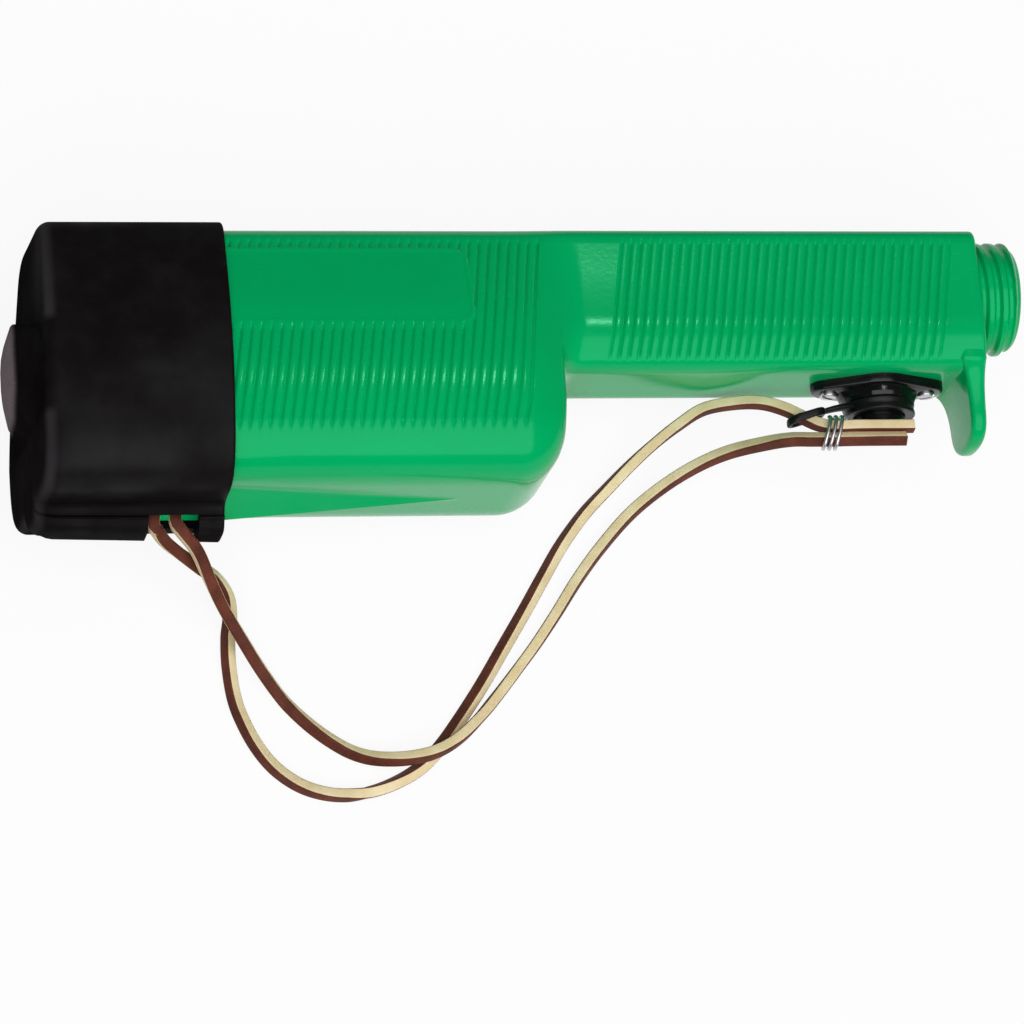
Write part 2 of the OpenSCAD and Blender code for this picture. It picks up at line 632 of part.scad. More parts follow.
module board_parts() {
    top = board_y + board_thickness + seat_gap;
    capacitor_height = 16;
    capacitor_radius = 5;
    capacitor_x = 12;
    capacitor_z = -8;
    capacitor_pitch = 14;
    power_x = 42;
    transistor_length = 15;
    transistor_height = 10;
    transistor_thickness = 4.6;
    transistor_z = -10;
    transformer_length = 18;
    transformer_height = 6;
    transformer_width = 10;
    transformer_z = 5;
    resistor_radius = 1.2;
    resistor_length = 8;
    resistor_x = 10;
    resistor_z = 5;
    resistor_pitch = 6;
    color(BLACK) place() translate([board_start_x, top, 0]) {
        for (i = [0:1]) translate([capacitor_x + capacitor_pitch * i, 0, capacitor_z])
            rod_y(0, capacitor_height, capacitor_radius);
        translate([power_x, 0, transistor_z])
            cube([transistor_length, transistor_height, transistor_thickness]);
        translate([power_x, 0, transformer_z])
            cube([transformer_length, transformer_height, transformer_width]);
        for (i = [0:3]) translate([resistor_x + resistor_pitch * i, resistor_radius, resistor_z])
            rod_z(0, resistor_length, resistor_radius);
    }
}
module pulse_coil() {
    cap_radius = 7;
    cap = 1.2;
    color(CREAM) place() translate([0, coil_y, 0]) union() {
        rod_x(coil_start_x, coil_start_x + coil_length - cap, coil_radius);
        rod_x(coil_start_x, coil_start_x + coil_length, cap_radius);
    }
}

// Switch: gasket and flange outlines share one shape
module flange_outline() {
    hull() {
        circle(flange_diameter / 2);
        for (side = [-1, 1]) translate([side * screw_spacing / 2, 0]) circle(ear_radius);
    }
}
module flange_plate(y0, y1) translate([switch_x, y1, 0]) rotate([90, 0, 0])
    linear_extrude(y1 - y0) flange_outline();
module switch_flange() {
    color(BLACK) place() difference() {
        union() {
            flange_plate(flange_bottom, flange_top);
            translate([switch_x, 0, 0]) rod_y(bell_end, flange_bottom + bite, bell_radius);
            translate([switch_x, 0, 0]) rod_y(flange_top - bite, switch_floor, sleeve_radius);
        }
        translate([switch_x, 0, 0]) rod_y(bell_end + bell_lip, switch_floor + over, bell_bore);
        translate([switch_x, 0, 0]) rod_y(bell_end - over, switch_floor + over, button_radius + running_gap);
        screw_places() rod_y(flange_bottom - over, flange_top + over, screw_radius + seat_gap);
    }
}
module flange_gasket() {
    color(RUBBER) place() difference() {
        flange_plate(flange_top, -grip_depth);
        translate([switch_x, 0, 0]) rod_y(flange_top - over, -grip_depth + over, sleeve_radius + seat_gap);
        screw_places() rod_y(flange_top - over, -grip_depth + over, screw_radius + seat_gap);
    }
}
module flange_screws() {
    slot_width = 0.9;
    slot_depth = 0.7;
    color(STEEL) place() screw_places() difference() {
        union() {
            rod_y(flange_bottom - screw_head, flange_bottom, screw_head_radius);
            rod_y(flange_bottom - bite, flange_bottom + screw_length, screw_radius);
        }
        translate([-screw_head_radius - over, flange_bottom - screw_head - over, -slot_width / 2])
            cube([2 * (screw_head_radius + over), slot_depth + over, slot_width]);
    }
}
module keeper_outline(height) hull() for (side = [-1, 1])
    translate([side * (keeper_half - keeper_height / 2), 0]) circle(height / 2, $fn = 32);
module switch_collar() {
    top = bell_end + collar_length - collar_thickness;
    inner = bell_radius + running_gap;
    keeper_y = bell_end - keeper_drop;
    arm_root = keeper_half - keeper_thickness;
    arm_length = keeper_reach - arm_root - inner;
    color(RUBBER) place() translate([switch_x, 0, 0]) difference() {
        union() {
            rod_y(bell_end - collar_thickness, top, inner + collar_thickness);
            translate([-keeper_reach, keeper_y + keeper_thickness / 2, keeper_side]) rotate([90, 0, 0])
                linear_extrude(keeper_thickness) keeper_outline(keeper_height);
            translate([arm_root - keeper_reach, keeper_y, keeper_side - keeper_thickness])
                linear_extrude(2 * keeper_thickness)
                    polygon([[0, -keeper_thickness / 2], [0, keeper_thickness / 2],
                    [arm_length, top - keeper_y], [arm_length + inner / 2, top - keeper_y],
                    [arm_length + inner / 2, bell_end - keeper_y], [arm_length, bell_end - keeper_y]]);
        }
        rod_y(bell_end - running_gap, top + over, inner);
        rod_y(bell_end - collar_thickness - over, top, button_radius + boot_gap);
        translate([-keeper_reach, keeper_y + keeper_thickness, keeper_side]) rotate([90, 0, 0])
            linear_extrude(2 * keeper_thickness) keeper_outline(keeper_slot);
    }
}
module switch_body() {
    color(BLACK) place() translate([switch_x, 0, 0]) difference() {
        rod_y(switch_floor, switch_top, sleeve_radius);
        rod_y(switch_floor - over, switch_top - over, stem_radius + running_gap);
        rod_y(switch_floor + switch_neck, switch_top - switch_cap, cavity_radius);
        terminal_places() terminal_bar(switch_top - switch_cap - over, switch_top + over, running_gap);
    }
}
module terminal_places() for (side = [-1, 1]) translate([0, 0, side * terminal_z]) children();
module terminal_bar(y0, y1, grow) translate([-terminal_width / 2 - grow, y0, -terminal_thickness / 2 - grow])
    cube([terminal_width + 2 * grow, y1 - y0, terminal_thickness + 2 * grow]);
module switch_terminals() {
    color(BRASS) place() translate([switch_x, 0, 0]) terminal_places()
        terminal_bar(terminal_end, terminal_end + terminal_height, 0);
}
module button() {
    dish = 30;
    dish_depth = 0.8;
    end = bell_end - button_reach;
    color(BLACK) place() translate([switch_x, 0, 0]) difference() {
        union() {
            rod_y(end, button_seat + button_flange, button_radius);
            rod_y(button_seat, button_seat + button_flange, button_flange_radius);
        }
        translate([0, end - dish + dish_depth, 0]) sphere(r = dish, $fn = 64);
        rod_y(button_seat - over, button_seat + button_flange + over, stem_radius);
    }
}
module contact_bridge() {
    color(BRASS) place() translate([switch_x, 0, 0]) union() {
        rod_y(button_seat - over, bridge_top, stem_radius);
        rod_y(bridge_top - bridge, bridge_top, bridge_radius);
    }
}
module button_spring() {
    low = button_seat + button_flange + spring_wire / 2 + running_gap;
    high = switch_floor - spring_wire / 2 - running_gap;
    color(STEEL) place() tube([for (i = [0:spring_turns * curl_steps]) let (a = 360 * i / curl_steps)
        [switch_x + spring_radius * cos(a), mix(low, high, i / (spring_turns * curl_steps)),
            spring_radius * sin(a)]],
        spring_wire / 2, wire_sides, [0, 1, 0]);
}

// Leads: pairs on both sides of the mid-plane
module lead_pair(route) for (side = [0, 1]) mirror([0, 0, side])
    tube(route, lead_radius, ring_sides, [0, 1, 0.3]);
module switch_leads() { color(BLACK) place() lead_pair(SWITCH_LEAD); }
module output_leads() { color(BLACK) place() lead_pair(OUTPUT_LEAD); }
module battery_leads() { color(BLACK) place() lead_pair(BATTERY_LEAD); }

// Strap: pin, loop, strands and clip
module strap_pin() {
    half = pocket_half_z + pocket_wall - pin_cover - seat_gap;
    color(STEEL) place() translate([strap_x, strap_pin_y, 0]) rod_z(-half, half, strap_pin_radius);
}
module lace_loop() {
    arc = [for (i = [0:curl_steps]) let (a = 180 * i / curl_steps)
        [strap_x + loop_radius * cos(a), strap_pin_y + loop_radius * sin(a), 0]];
    color(LEATHER) place() tube(concat([[strap_x + loop_radius, loop_leg_end, 0]], arc,
        [[strap_x - loop_radius, loop_leg_end, 0]]), lace_radius, ring_sides);
}
module lace_inner() {
    color(LEATHER) place() tube(concat([[strap_x + loop_radius, loop_leg_end - seat_gap, 0]], INNER_ROUTE),
        lace_radius, ring_sides);
}
module lace_outer() {
    color(LEATHER) place() tube(concat([[strap_x - loop_radius, loop_leg_end - seat_gap, 0]], OUTER_ROUTE),
        lace_radius, ring_sides);
}
function least_gap(path, ring, wire) = min([for (i = [0:len(path) - 1 - ring]) for (j = [i + ring:len(path) - 1])
    norm(path[i] - path[j])]) - wire;
module wire_clip() {
    ring = 2 * curl_steps;
    path = [for (i = [0:clip_turns * ring]) let (a = 360 * i / ring)
        [clip_x + clip_pitch * i / ring, clip_y + clip_half_y * cos(a), clip_z + clip_half_z * sin(a)]];
    echo(clip_gap = least_gap(path, ring - 2, clip_wire));
    color(STEEL) place() tube(path, clip_wire / 2, wire_sides, [1, 0, 0]);
}

// Boot: an outer solid less an inner one, closed at the end, with a nose and a strap channel cut by a window
function boot_corners(grow) = let (c = body_corners(), n = len(c) - 1)
    inset(concat([for (i = [0:n - 1]) c[i]],
        [[keel_half_width, -body_depth, 2], [0, -body_depth - keel_depth, 0]]), -grow);
function lean_x(y) = boot_mouth_x + tan(boot_mouth_lean) * (y - frame_y);
module boot_solid(grow, x0, end_round, reach) {
    steps = 5;
    rings = concat([for (i = [steps:-1:0]) let (a = 90 * i / steps, e = end_round * (1 - cos(a)))
            [for (p = full_section(half_section(inset(boot_corners(grow), e))))
                [x0 + end_round * (1 - sin(a)), p[1], p[0]]]],
        [[for (p = full_section(half_section(boot_corners(grow)))) [lean_x(p[1]) + reach, p[1], p[0]]]]);
    last = len(rings) - 1;
    k = len(rings[0]);
    faces = flat_list(concat(
        [for (s = [0:last - 1]) for (j = [0:k - 1]) let (n = (j + 1) % k)
            quad(s * k + j, (s + 1) * k + j, (s + 1) * k + n, s * k + n)],
        [for (j = [1:k - 2]) [[0, j, j + 1]]],
        [for (j = [1:k - 2]) [[last * k, last * k + j + 1, last * k + j]]]));
    polyhedron(flat_list(rings), faces, convexity = 6);
}
module channel(half, x0, x1, bottom) {
    arc_steps = 6;
    translate([0, 0, -half]) linear_extrude(2 * half) polygon(concat([[x1, -body_depth], [x0, -body_depth]],
        [for (i = [0:arc_steps]) let (a = 90 * i / arc_steps)
            [x0 + channel_round * (1 - cos(a)), bottom + channel_rise + channel_round * (1 - sin(a))]],
        [[x1, bottom]]));
}
module boot() {
    nose_corner = 6;
    nose_dome = 3;
    nose_taper = 2;
    nose_flat = 2;
    channel_end_x = boot_mouth_x - channel_set_in;
    color(RUBBER) place() difference() {
        union() {
            boot_solid(boot_proud, boot_end_x, boot_end_round, 0);
            channel(channel_half, boot_end_x, channel_end_x, -boot_bottom);
            hull() for (sy = [-1, 1]) for (sz = [-1, 1]) {
                translate([0, -nose_drop + sy * (nose_height / 2 - nose_corner),
                        sz * (nose_width / 2 - nose_corner)])
                    rod_x(nose_length - nose_flat, nose_length + over, nose_corner, $fn = 32);
                translate([nose_dome, -nose_drop + sy * (nose_height / 2 - nose_taper - nose_dome),
                    sz * (nose_width / 2 - nose_taper - nose_dome)]) sphere(r = nose_dome, $fn = 24);
            }
        }
        boot_solid(boot_gap, boot_end_x + boot_wall, boot_end_gap, 2 * over);
        channel(channel_half - boot_wall, boot_end_x + boot_wall, channel_end_x + over,
            -boot_bottom + boot_wall);
        translate([strap_x + window_shift - window_half_x, -boot_bottom - over, -channel_half - over])
            cube([2 * window_half_x, boot_bottom + over - body_depth - window_top_room,
                2 * (channel_half + over)]);
    }
}

// Battery carrier: two plates, a floor under the cells and a rail between them
module battery_carrier() {
    top = shelf_bottom - slide_gap;
    notch_half = pocket_half_z + pocket_wall + slide_gap;
    notch_top = pocket_top + pocket_wall + slide_gap;
    rail_half = 2.4;
    rail_height = 4;
    color(BLACK) place() difference() {
        union() {
            for (x = [carrier_rear_x, carrier_front_x]) intersection() {
                bay_slab(x, x + plate, slide_gap);
                band(x, x + plate, -big, top);
            }
            translate([carrier_rear_x + plate - bite, carrier_floor_y - carrier_floor, -cell_z])
                cube([carrier_front_x - carrier_rear_x - plate + 2 * bite, carrier_floor, 2 * cell_z]);
            translate([carrier_rear_x + plate - bite, carrier_floor_y - bite, -rail_half])
                cube([carrier_front_x - carrier_rear_x - plate + 2 * bite, bite + rail_height, 2 * rail_half]);
        }
        translate([carrier_rear_x - over, -big + notch_top, -notch_half])
            cube([carrier_front_x - carrier_rear_x + plate + 2 * over, big, 2 * notch_half]);
        cell_columns() rod_x(carrier_front_x - over, carrier_front_x + plate + over, stud_radius + running_gap);
    }
}
module cell(column, row) {
    nub_radius = 3.2;
    nub = 1.5;
    side = 2 * column - 1;
    color(STEEL) place()
        translate([cell_start_x + row * cell_pitch + column * cell_length, cell_y, side * cell_z])
        rotate([0, 180 * column, 0]) union() {
            rod_x(0, cell_length - nub, cell_radius);
            rod_x(cell_length - nub - bite, cell_length, nub_radius);
        }
}
module cell_1() cell(0, 0);
module cell_2() cell(0, 1);
module cell_3() cell(1, 0);
module cell_4() cell(1, 1);
module carrier_contacts() {
    strip_half = 5;
    stud_end = bulkhead_x - contact_sheet - seat_gap - boot_gap;
    color(BRASS) place() {
        translate([carrier_rear_x + plate, cell_y - strip_half, -cell_z - strip_half])
            cube([contact_sheet, 2 * strip_half, 2 * (cell_z + strip_half)]);
        cell_columns() union() {
            rod_x(carrier_front_x - contact_sheet, carrier_front_x, contact_radius);
            rod_x(carrier_front_x - contact_sheet, stud_end, stud_radius);
        }
    }
}

case_right();
case_left();
wand_coupling();
contact_plug();
output_contacts();
battery_divider();
bay_contacts();
circuit_board();
board_parts();
pulse_coil();
switch_flange();
flange_gasket();
flange_screws();
switch_collar();
switch_body();
switch_terminals();
button_spring();
battery_leads();
switch_leads();
output_leads();
strap_pin();
lace_loop();
lace_inner();
lace_outer();
wire_clip();
button();
contact_bridge();
boot();
battery_carrier();
cell_1();
cell_2();
cell_3();
cell_4();
carrier_contacts();
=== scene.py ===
"""Handle of an electric stock prod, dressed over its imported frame.

Shapes are worked out in millimetres: x runs from the nose of the boot to the wand, y up from the wand axis
to the top of the grip, and z out of the mid-plane to the right flank. to_frame() turns them into metres.
"""
import json
import math

import bmesh
import bpy
import numpy as np
from mathutils import Matrix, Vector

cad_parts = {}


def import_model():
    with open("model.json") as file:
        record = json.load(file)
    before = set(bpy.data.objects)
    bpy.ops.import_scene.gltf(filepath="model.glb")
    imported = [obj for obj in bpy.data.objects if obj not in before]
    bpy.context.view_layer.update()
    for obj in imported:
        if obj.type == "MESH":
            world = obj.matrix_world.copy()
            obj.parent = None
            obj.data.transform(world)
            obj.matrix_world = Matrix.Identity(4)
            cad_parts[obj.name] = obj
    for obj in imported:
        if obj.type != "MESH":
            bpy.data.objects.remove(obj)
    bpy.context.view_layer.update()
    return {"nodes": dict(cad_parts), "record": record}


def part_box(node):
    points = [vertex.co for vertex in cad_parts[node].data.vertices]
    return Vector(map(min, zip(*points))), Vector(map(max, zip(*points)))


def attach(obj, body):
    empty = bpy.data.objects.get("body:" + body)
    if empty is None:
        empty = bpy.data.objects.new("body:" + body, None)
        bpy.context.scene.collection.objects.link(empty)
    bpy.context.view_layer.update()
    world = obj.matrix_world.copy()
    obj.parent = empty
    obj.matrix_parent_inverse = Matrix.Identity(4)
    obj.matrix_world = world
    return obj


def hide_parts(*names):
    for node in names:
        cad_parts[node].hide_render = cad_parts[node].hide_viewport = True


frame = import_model()

# Stations along x
BOOT_END_X = 8.4
CASE_REAR_X = 11.0
STRAP_X = 44.0
BOOT_MOUTH_X = 60.0
KEEL_TIP_X = 125.4
BODY_FRONT_X = 153.0
SWITCH_X = 247.6
COUPLING_REAR_X = 269.4
FRONT_WALL_X = 272.0
GRIP_FRONT_X = 276.0
SOCKET_FLOOR_X = 278.0
THREAD_END_X = 288.5
# Heights and half widths of the case
TOP_Y = 16.5
BODY_FOOT_Y = -58.0
GRIP_FOOT_Y = -25.2
KEEL_DEPTH = 5.5
KEEL_HALF = 12.0
CASE_WALL = 2.4

MM = 0.001
coupling_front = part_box("wand_coupling")[1]
plug_low, plug_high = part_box("contact_plug")
ORIGIN = np.array([coupling_front[0] - THREAD_END_X * MM, (plug_low[1] + plug_high[1]) / 2,
                   (plug_low[2] + plug_high[2]) / 2])
GROUND_Z = -ORIGIN[2] / MM


def to_frame(points):
    """Millimetres from the nose, the wand axis and the mid-plane, as metres in the frame."""
    return np.asarray(points, dtype=float) * MM + ORIGIN


def facing(right, up, back, place):
    """Matrix of a camera or lamp whose own axes point right, up and back, at a place in the frame."""
    turn = np.identity(4)
    turn[:3] = np.stack([right, up, back, place], axis=1)
    return Matrix(turn.tolist())


# Camera, at the photograph's viewing angle
IMAGE_PIXELS = 1024
FOCAL_PIXELS = 5500
SENSOR_WIDTH = 36.0
NEAR_LIMIT = 0.01
VIEW_TILT = math.radians(16.657)
VIEW_TURN = math.radians(11.4)
VIEW_ROLL = math.radians(-0.483)
VIEW_DISTANCE = 1523.5
VIEW_AIM = np.array([140.175, -61.907, 0.0])


def add_camera():
    """A long lens that looks at the aim from above the right flank, a little from behind and below."""
    right = np.array([math.cos(VIEW_TURN), -math.sin(VIEW_TILT) * math.sin(VIEW_TURN),
                      math.cos(VIEW_TILT) * math.sin(VIEW_TURN)])
    up = np.array([0.0, math.cos(VIEW_TILT), math.sin(VIEW_TILT)])
    rolled_right = right * math.cos(VIEW_ROLL) + up * math.sin(VIEW_ROLL)
    rolled_up = up * math.cos(VIEW_ROLL) - right * math.sin(VIEW_ROLL)
    back = np.cross(rolled_right, rolled_up)
    camera = bpy.data.objects.new("camera", bpy.data.cameras.new("camera"))
    camera.data.lens = SENSOR_WIDTH * FOCAL_PIXELS / IMAGE_PIXELS
    camera.data.sensor_width = SENSOR_WIDTH
    camera.data.clip_start = NEAR_LIMIT
    eye = to_frame(VIEW_AIM + back * VIEW_DISTANCE)
    camera.matrix_world = facing(rolled_right, rolled_up, back, eye)
    bpy.context.collection.objects.link(camera)
    bpy.context.scene.camera = camera


add_camera()


# Shader maths
class Shade:
    """A socket of a node tree: operators on it add Math nodes, and node() adds any other node."""

    def __init__(self, tree, socket=None):
        self.tree = tree
        self.socket = socket

    def node(self, kind, settings=None, sockets=None, out=0):
        """Add a node of one type, set its settings, give its sockets values or links; gives one output."""
        made = self.tree.nodes.new("ShaderNode" + kind)
        for name, value in (settings or {}).items():
            setattr(made, name, value)
        for key, value in (sockets or {}).items():
            if isinstance(value, Shade):
                self.tree.links.new(value.socket, made.inputs[key])
            else:
                made.inputs[key].default_value = value
        return Shade(self.tree, made.outputs[out])

    def output(self, key):
        """Another output of the node that this socket belongs to."""
        return Shade(self.tree, self.socket.node.outputs[key])

    def math(self, operation, first, second=0.0):
        """A Math node of one operation on two values or links."""
        return self.node("Math", {"operation": operation}, {0: first, 1: second})

    def __add__(self, other):
        return self.math("ADD", self, other)

    def __radd__(self, other):
        return self.math("ADD", other, self)

    def __sub__(self, other):
        return self.math("SUBTRACT", self, other)

    def __rsub__(self, other):
        return self.math("SUBTRACT", other, self)

    def __mul__(self, other):
        return self.math("MULTIPLY", self, other)

    def __rmul__(self, other):
        return self.math("MULTIPLY", other, self)

    def __abs__(self):
        return self.math("ABSOLUTE", self)

    def most(self, other):
        return self.math("MAXIMUM", self, other)

    def fraction(self):
        return self.math("FRACT", self)

    def step(self, low, high):
        """Rises smoothly from 0 at low to 1 at high."""
        return self.node("MapRange", {"interpolation_type": "SMOOTHSTEP"},
                         {"Value": self, "From Min": low, "From Max": high})

    def noise(self, scale, detail=2.0, roughness=0.5):
        """Noise of that many cells per metre, read at this socket's coordinates."""
        return self.node("TexNoise", None, {"Vector": self, "Scale": scale, "Detail": detail,
                                            "Roughness": roughness})

    def stretch(self, scale):
        """These coordinates multiplied along each axis."""
        return self.node("VectorMath", {"operation": "MULTIPLY"}, {0: self, 1: scale})

    def blend(self, first, second):
        """Colour between two colours, by this socket as the factor."""
        return self.node("Mix", {"data_type": "RGBA"}, {0: self, 6: first, 7: second}, out=2)

    def bump(self, height, strength):
        """Normal of a surface raised by this socket times height metres."""
        return self.node("Bump", None, {"Height": self, "Distance": height, "Strength": strength})


def material(name, paint, constants):
    """A Principled material: constants are set on it, and paint(place) gives the sockets that vary."""
    made = bpy.data.materials.new(name)
    made.use_nodes = True
    tree = made.node_tree
    shader = tree.nodes["Principled BSDF"]
    for key, value in constants.items():
        shader.inputs[key].default_value = value
    place = Shade(tree).node("TexCoord", out="Object")
    for key, value in paint(place).items():
        tree.links.new(value.socket, shader.inputs[key])
    return made


def rgb(red, green, blue):
    """A solid colour, by its linear red, green and blue."""
    return (red, green, blue, 1.0)


# Colours, each finish from its darker or plainer tone to its other one
GREEN_DEEP = rgb(0.0, 0.385, 0.110)
GREEN = rgb(0.0, 0.42, 0.126)
GREEN_GLOSS = rgb(0.3, 1.0, 0.65)
BOOT_BLACK = rgb(0.0060, 0.0050, 0.0055)
BOOT_DUST = rgb(0.011, 0.010, 0.010)
# Painted highlight that makes the boot's nose end pale
BOOT_NOSE_HIGHLIGHT = rgb(0.24, 0.20, 0.21)
# Painted highlight along the boot's rounded end edge
BOOT_EDGE_HIGHLIGHT = rgb(0.040, 0.036, 0.040)
SWITCH_BLACK = rgb(0.0025, 0.0025, 0.003)
SWITCH_CLOUD = rgb(0.005, 0.005, 0.0055)
RUBBER_BLACK = rgb(0.003, 0.003, 0.003)
RUBBER_CLOUD = rgb(0.006, 0.006, 0.006)
STEEL = rgb(0.62, 0.62, 0.63)
STEEL_DARK = rgb(0.50, 0.50, 0.52)
BRASS = rgb(0.70, 0.48, 0.17)
BRASS_DULL = rgb(0.52, 0.33, 0.12)
INNER_BLACK = rgb(0.015, 0.015, 0.016)
INNER_GREY = rgb(0.028, 0.028, 0.03)
BOARD_DEEP = rgb(0.012, 0.10, 0.055)
BOARD_GREEN = rgb(0.03, 0.18, 0.10)
RESIN_DEEP = rgb(0.52, 0.43, 0.27)
RESIN_CREAM = rgb(0.68, 0.60, 0.42)
JACKET_GREY = rgb(0.42, 0.43, 0.45)
JACKET_BRIGHT = rgb(0.60, 0.61, 0.62)
SHEATH_DEEP = rgb(0.30, 0.02, 0.015)
SHEATH_RED = rgb(0.42, 0.03, 0.02)
LEATHER_DARK = rgb(0.075, 0.02, 0.012)
LEATHER_BROWN = rgb(0.175, 0.045, 0.026)
LEATHER_STAIN = rgb(0.72, 0.55, 0.30)
LEATHER_CREAM = rgb(0.88, 0.76, 0.50)


def paint_green(place):
    """Moulded plastic: faint clouding of the colour, fine orange peel and a few marks in the gloss."""
    cloud = place.noise(scale=45.0, detail=3.0)
    peel = place.noise(scale=900.0)
    marks = place.stretch((0.2, 1.0, 1.0)).noise(scale=1500.0, detail=1.0).step(low=0.62, high=0.75)
    return {"Base Color": cloud.blend(GREEN_DEEP, GREEN),
            "Roughness": 0.13 + 0.05 * cloud + 0.12 * marks,
            "Normal": peel.bump(height=0.00004, strength=0.35)}


# Lean of the boot's end: forwards with height above a floor, and forwards with width to the right
BOOT_SHEAR = math.tan(math.radians(3.0))
BOOT_SHEAR_Y = 5.0
BOOT_SHEAR_FOOT_Y = -40.0
BOOT_SKEW = 0.055
# Nose: height of its middle, half height, and how far its root lies below its end
NOSE_Y = -23.3
NOSE_HALF_Y = 13.8
NOSE_SINK = 4.5
# Marks on the boot: end of the nose's painted highlight and its wander, start of the coat sheen, the painted
# highlight along the end edge, and the root that breaks it
NOSE_HIGHLIGHT_X = (1.4, 3.2)
NOSE_HIGHLIGHT_WANDER = 0.001
BOOT_SHEEN_X = (8.0, 13.0)
BOOT_EDGE_HIGHLIGHT_X = (8.0, 9.6, 12.5)
NOSE_ROOT_EDGE = (12.0, 15.5)


def paint_boot(place):
    """Matt rubber: a mottled skin with fine grain, a rubbed coat sheen on the flanks, a painted highlight
    along the end edge and a painted highlight that makes the nose end pale.
    """
    mottle = place.noise(scale=70.0, detail=4.0, roughness=0.6)
    grain = place.noise(scale=2600.0)
    rubbed = place.stretch((1.0, 0.5, 1.0)).noise(scale=38.0).step(low=0.45, high=0.7)
    along = place.node("SeparateXYZ", None, {0: place})
    height = along.output("Y") - float(ORIGIN[1])
    width = along.output("Z") - float(ORIGIN[2])
    lean = (height.most(BOOT_SHEAR_FOOT_Y * MM) - BOOT_SHEAR_Y * MM) * BOOT_SHEAR + width * BOOT_SKEW
    upright = along - lean
    nose_lit_near, nose_lit_far = (float(ORIGIN[0] + x * MM) for x in NOSE_HIGHLIGHT_X)
    sheen_near, sheen_far = (float(ORIGIN[0] + x * MM) for x in BOOT_SHEEN_X)
    edge_lit_low, edge_lit_peak, edge_lit_high = (float(ORIGIN[0] + x * MM) for x in BOOT_EDGE_HIGHLIGHT_X)
    root = abs(height - (NOSE_Y - NOSE_SINK) * MM).step(*(edge * MM for edge in NOSE_ROOT_EDGE))
    # Painted highlight along the rounded end edge, broken where the nose's root meets it
    band = upright.step(edge_lit_low, edge_lit_peak) * (1.0 - upright.step(edge_lit_peak, edge_lit_high))
    edge_highlight = band * (0.5 + rubbed * 0.5) * root
    # Painted highlight that makes the nose end pale, with a grain through it
    nose_highlight_mask = 1.0 - (along + NOSE_HIGHLIGHT_WANDER * (mottle - 0.5)).step(nose_lit_near, nose_lit_far)
    nose_highlight = nose_highlight_mask * (0.55 + 0.9 * (grain - 0.25))
    skin = edge_highlight.blend(mottle.step(low=0.35, high=0.75).blend(BOOT_BLACK, BOOT_DUST), BOOT_EDGE_HIGHLIGHT)
    return {"Base Color": nose_highlight.blend(skin, BOOT_NOSE_HIGHLIGHT),
            "Roughness": 0.74 - 0.10 * rubbed + 0.08 * mottle,
            "Coat Weight": (0.06 + 0.20 * rubbed) * along.step(sheen_near, sheen_far),
            "Normal": (mottle * 0.75 + grain * 0.25).bump(height=0.00025, strength=0.5)}


def paint_switch(place):
    """Black plastic with a gloss that clouds a little and a very fine texture."""
    cloud = place.noise(scale=160.0, detail=3.0)
    grain = place.noise(scale=2200.0)
    return {"Base Color": cloud.blend(SWITCH_BLACK, SWITCH_CLOUD),
            "Roughness": 0.14 + 0.10 * cloud,
            "Normal": grain.bump(height=0.00006, strength=0.4)}


def paint_rubber(place):
    """Soft black rubber with an even fine grain."""
    cloud = place.noise(scale=240.0, detail=3.0)
    grain = place.noise(scale=3000.0)
    return {"Base Color": cloud.blend(RUBBER_BLACK, RUBBER_CLOUD),
            "Roughness": 0.30 + 0.12 * cloud,
            "Normal": grain.bump(height=0.00010, strength=0.5)}


def paint_steel(place):
    """Drawn steel: streaks in the roughness and a slight unevenness of tone."""
    streaks = place.stretch((1.0, 6.0, 6.0)).noise(scale=700.0)
    cloud = place.noise(scale=300.0)
    return {"Base Color": cloud.blend(STEEL, STEEL_DARK),
            "Roughness": 0.22 + 0.18 * streaks}


def paint_brass(place):
    """Stamped brass, dulled in patches."""
    dull = place.noise(scale=420.0, detail=3.0).step(low=0.4, high=0.7)
    return {"Base Color": dull.blend(BRASS, BRASS_DULL),
            "Roughness": 0.20 + 0.25 * dull}


def paint_inner(place):
    """Plain black moulding of the inside, with a satin grain."""
    grain = place.noise(scale=1800.0)
    return {"Base Color": grain.blend(INNER_BLACK, INNER_GREY),
            "Roughness": 0.42 + 0.16 * grain,
            "Normal": grain.bump(height=0.00008, strength=0.4)}


def paint_board(place):
    """Laminate with the cross weave of its glass cloth: threads along x and along z, added."""
    warp = place.stretch((1.0, 0.0, 0.12)).noise(scale=2400.0, detail=1.0)
    weft = place.stretch((0.12, 0.0, 1.0)).noise(scale=2400.0, detail=1.0)
    weave = warp + weft
    return {"Base Color": (weave - 0.5).blend(BOARD_DEEP, BOARD_GREEN),
            "Roughness": 0.30 + 0.15 * weave}


def paint_potting(place):
    """Poured resin: cloudy cream with small pores."""
    cloud = place.noise(scale=180.0, detail=3.0)
    pores = place.noise(scale=1500.0, detail=1.0).step(low=0.68, high=0.74)
    return {"Base Color": cloud.blend(RESIN_DEEP, RESIN_CREAM),
            "Roughness": 0.35 + 0.3 * pores,
            "Normal": (1 - pores).bump(height=0.0002, strength=0.6)}


def paint_cell(place):
    """Plain metal jacket of a cell, brushed along its length."""
    brushed = place.stretch((0.05, 1.0, 1.0)).noise(scale=1800.0)
    return {"Base Color": brushed.blend(JACKET_GREY, JACKET_BRIGHT),
            "Roughness": 0.24 + 0.2 * brushed}


def paint_sheath(place):
    """Insulation of a hook-up wire."""
    cloud = place.noise(scale=900.0)
    return {"Base Color": cloud.blend(SHEATH_DEEP, SHEATH_RED),
            "Roughness": 0.38 + 0.1 * cloud}


WANDER_PER_METRE = 60.0


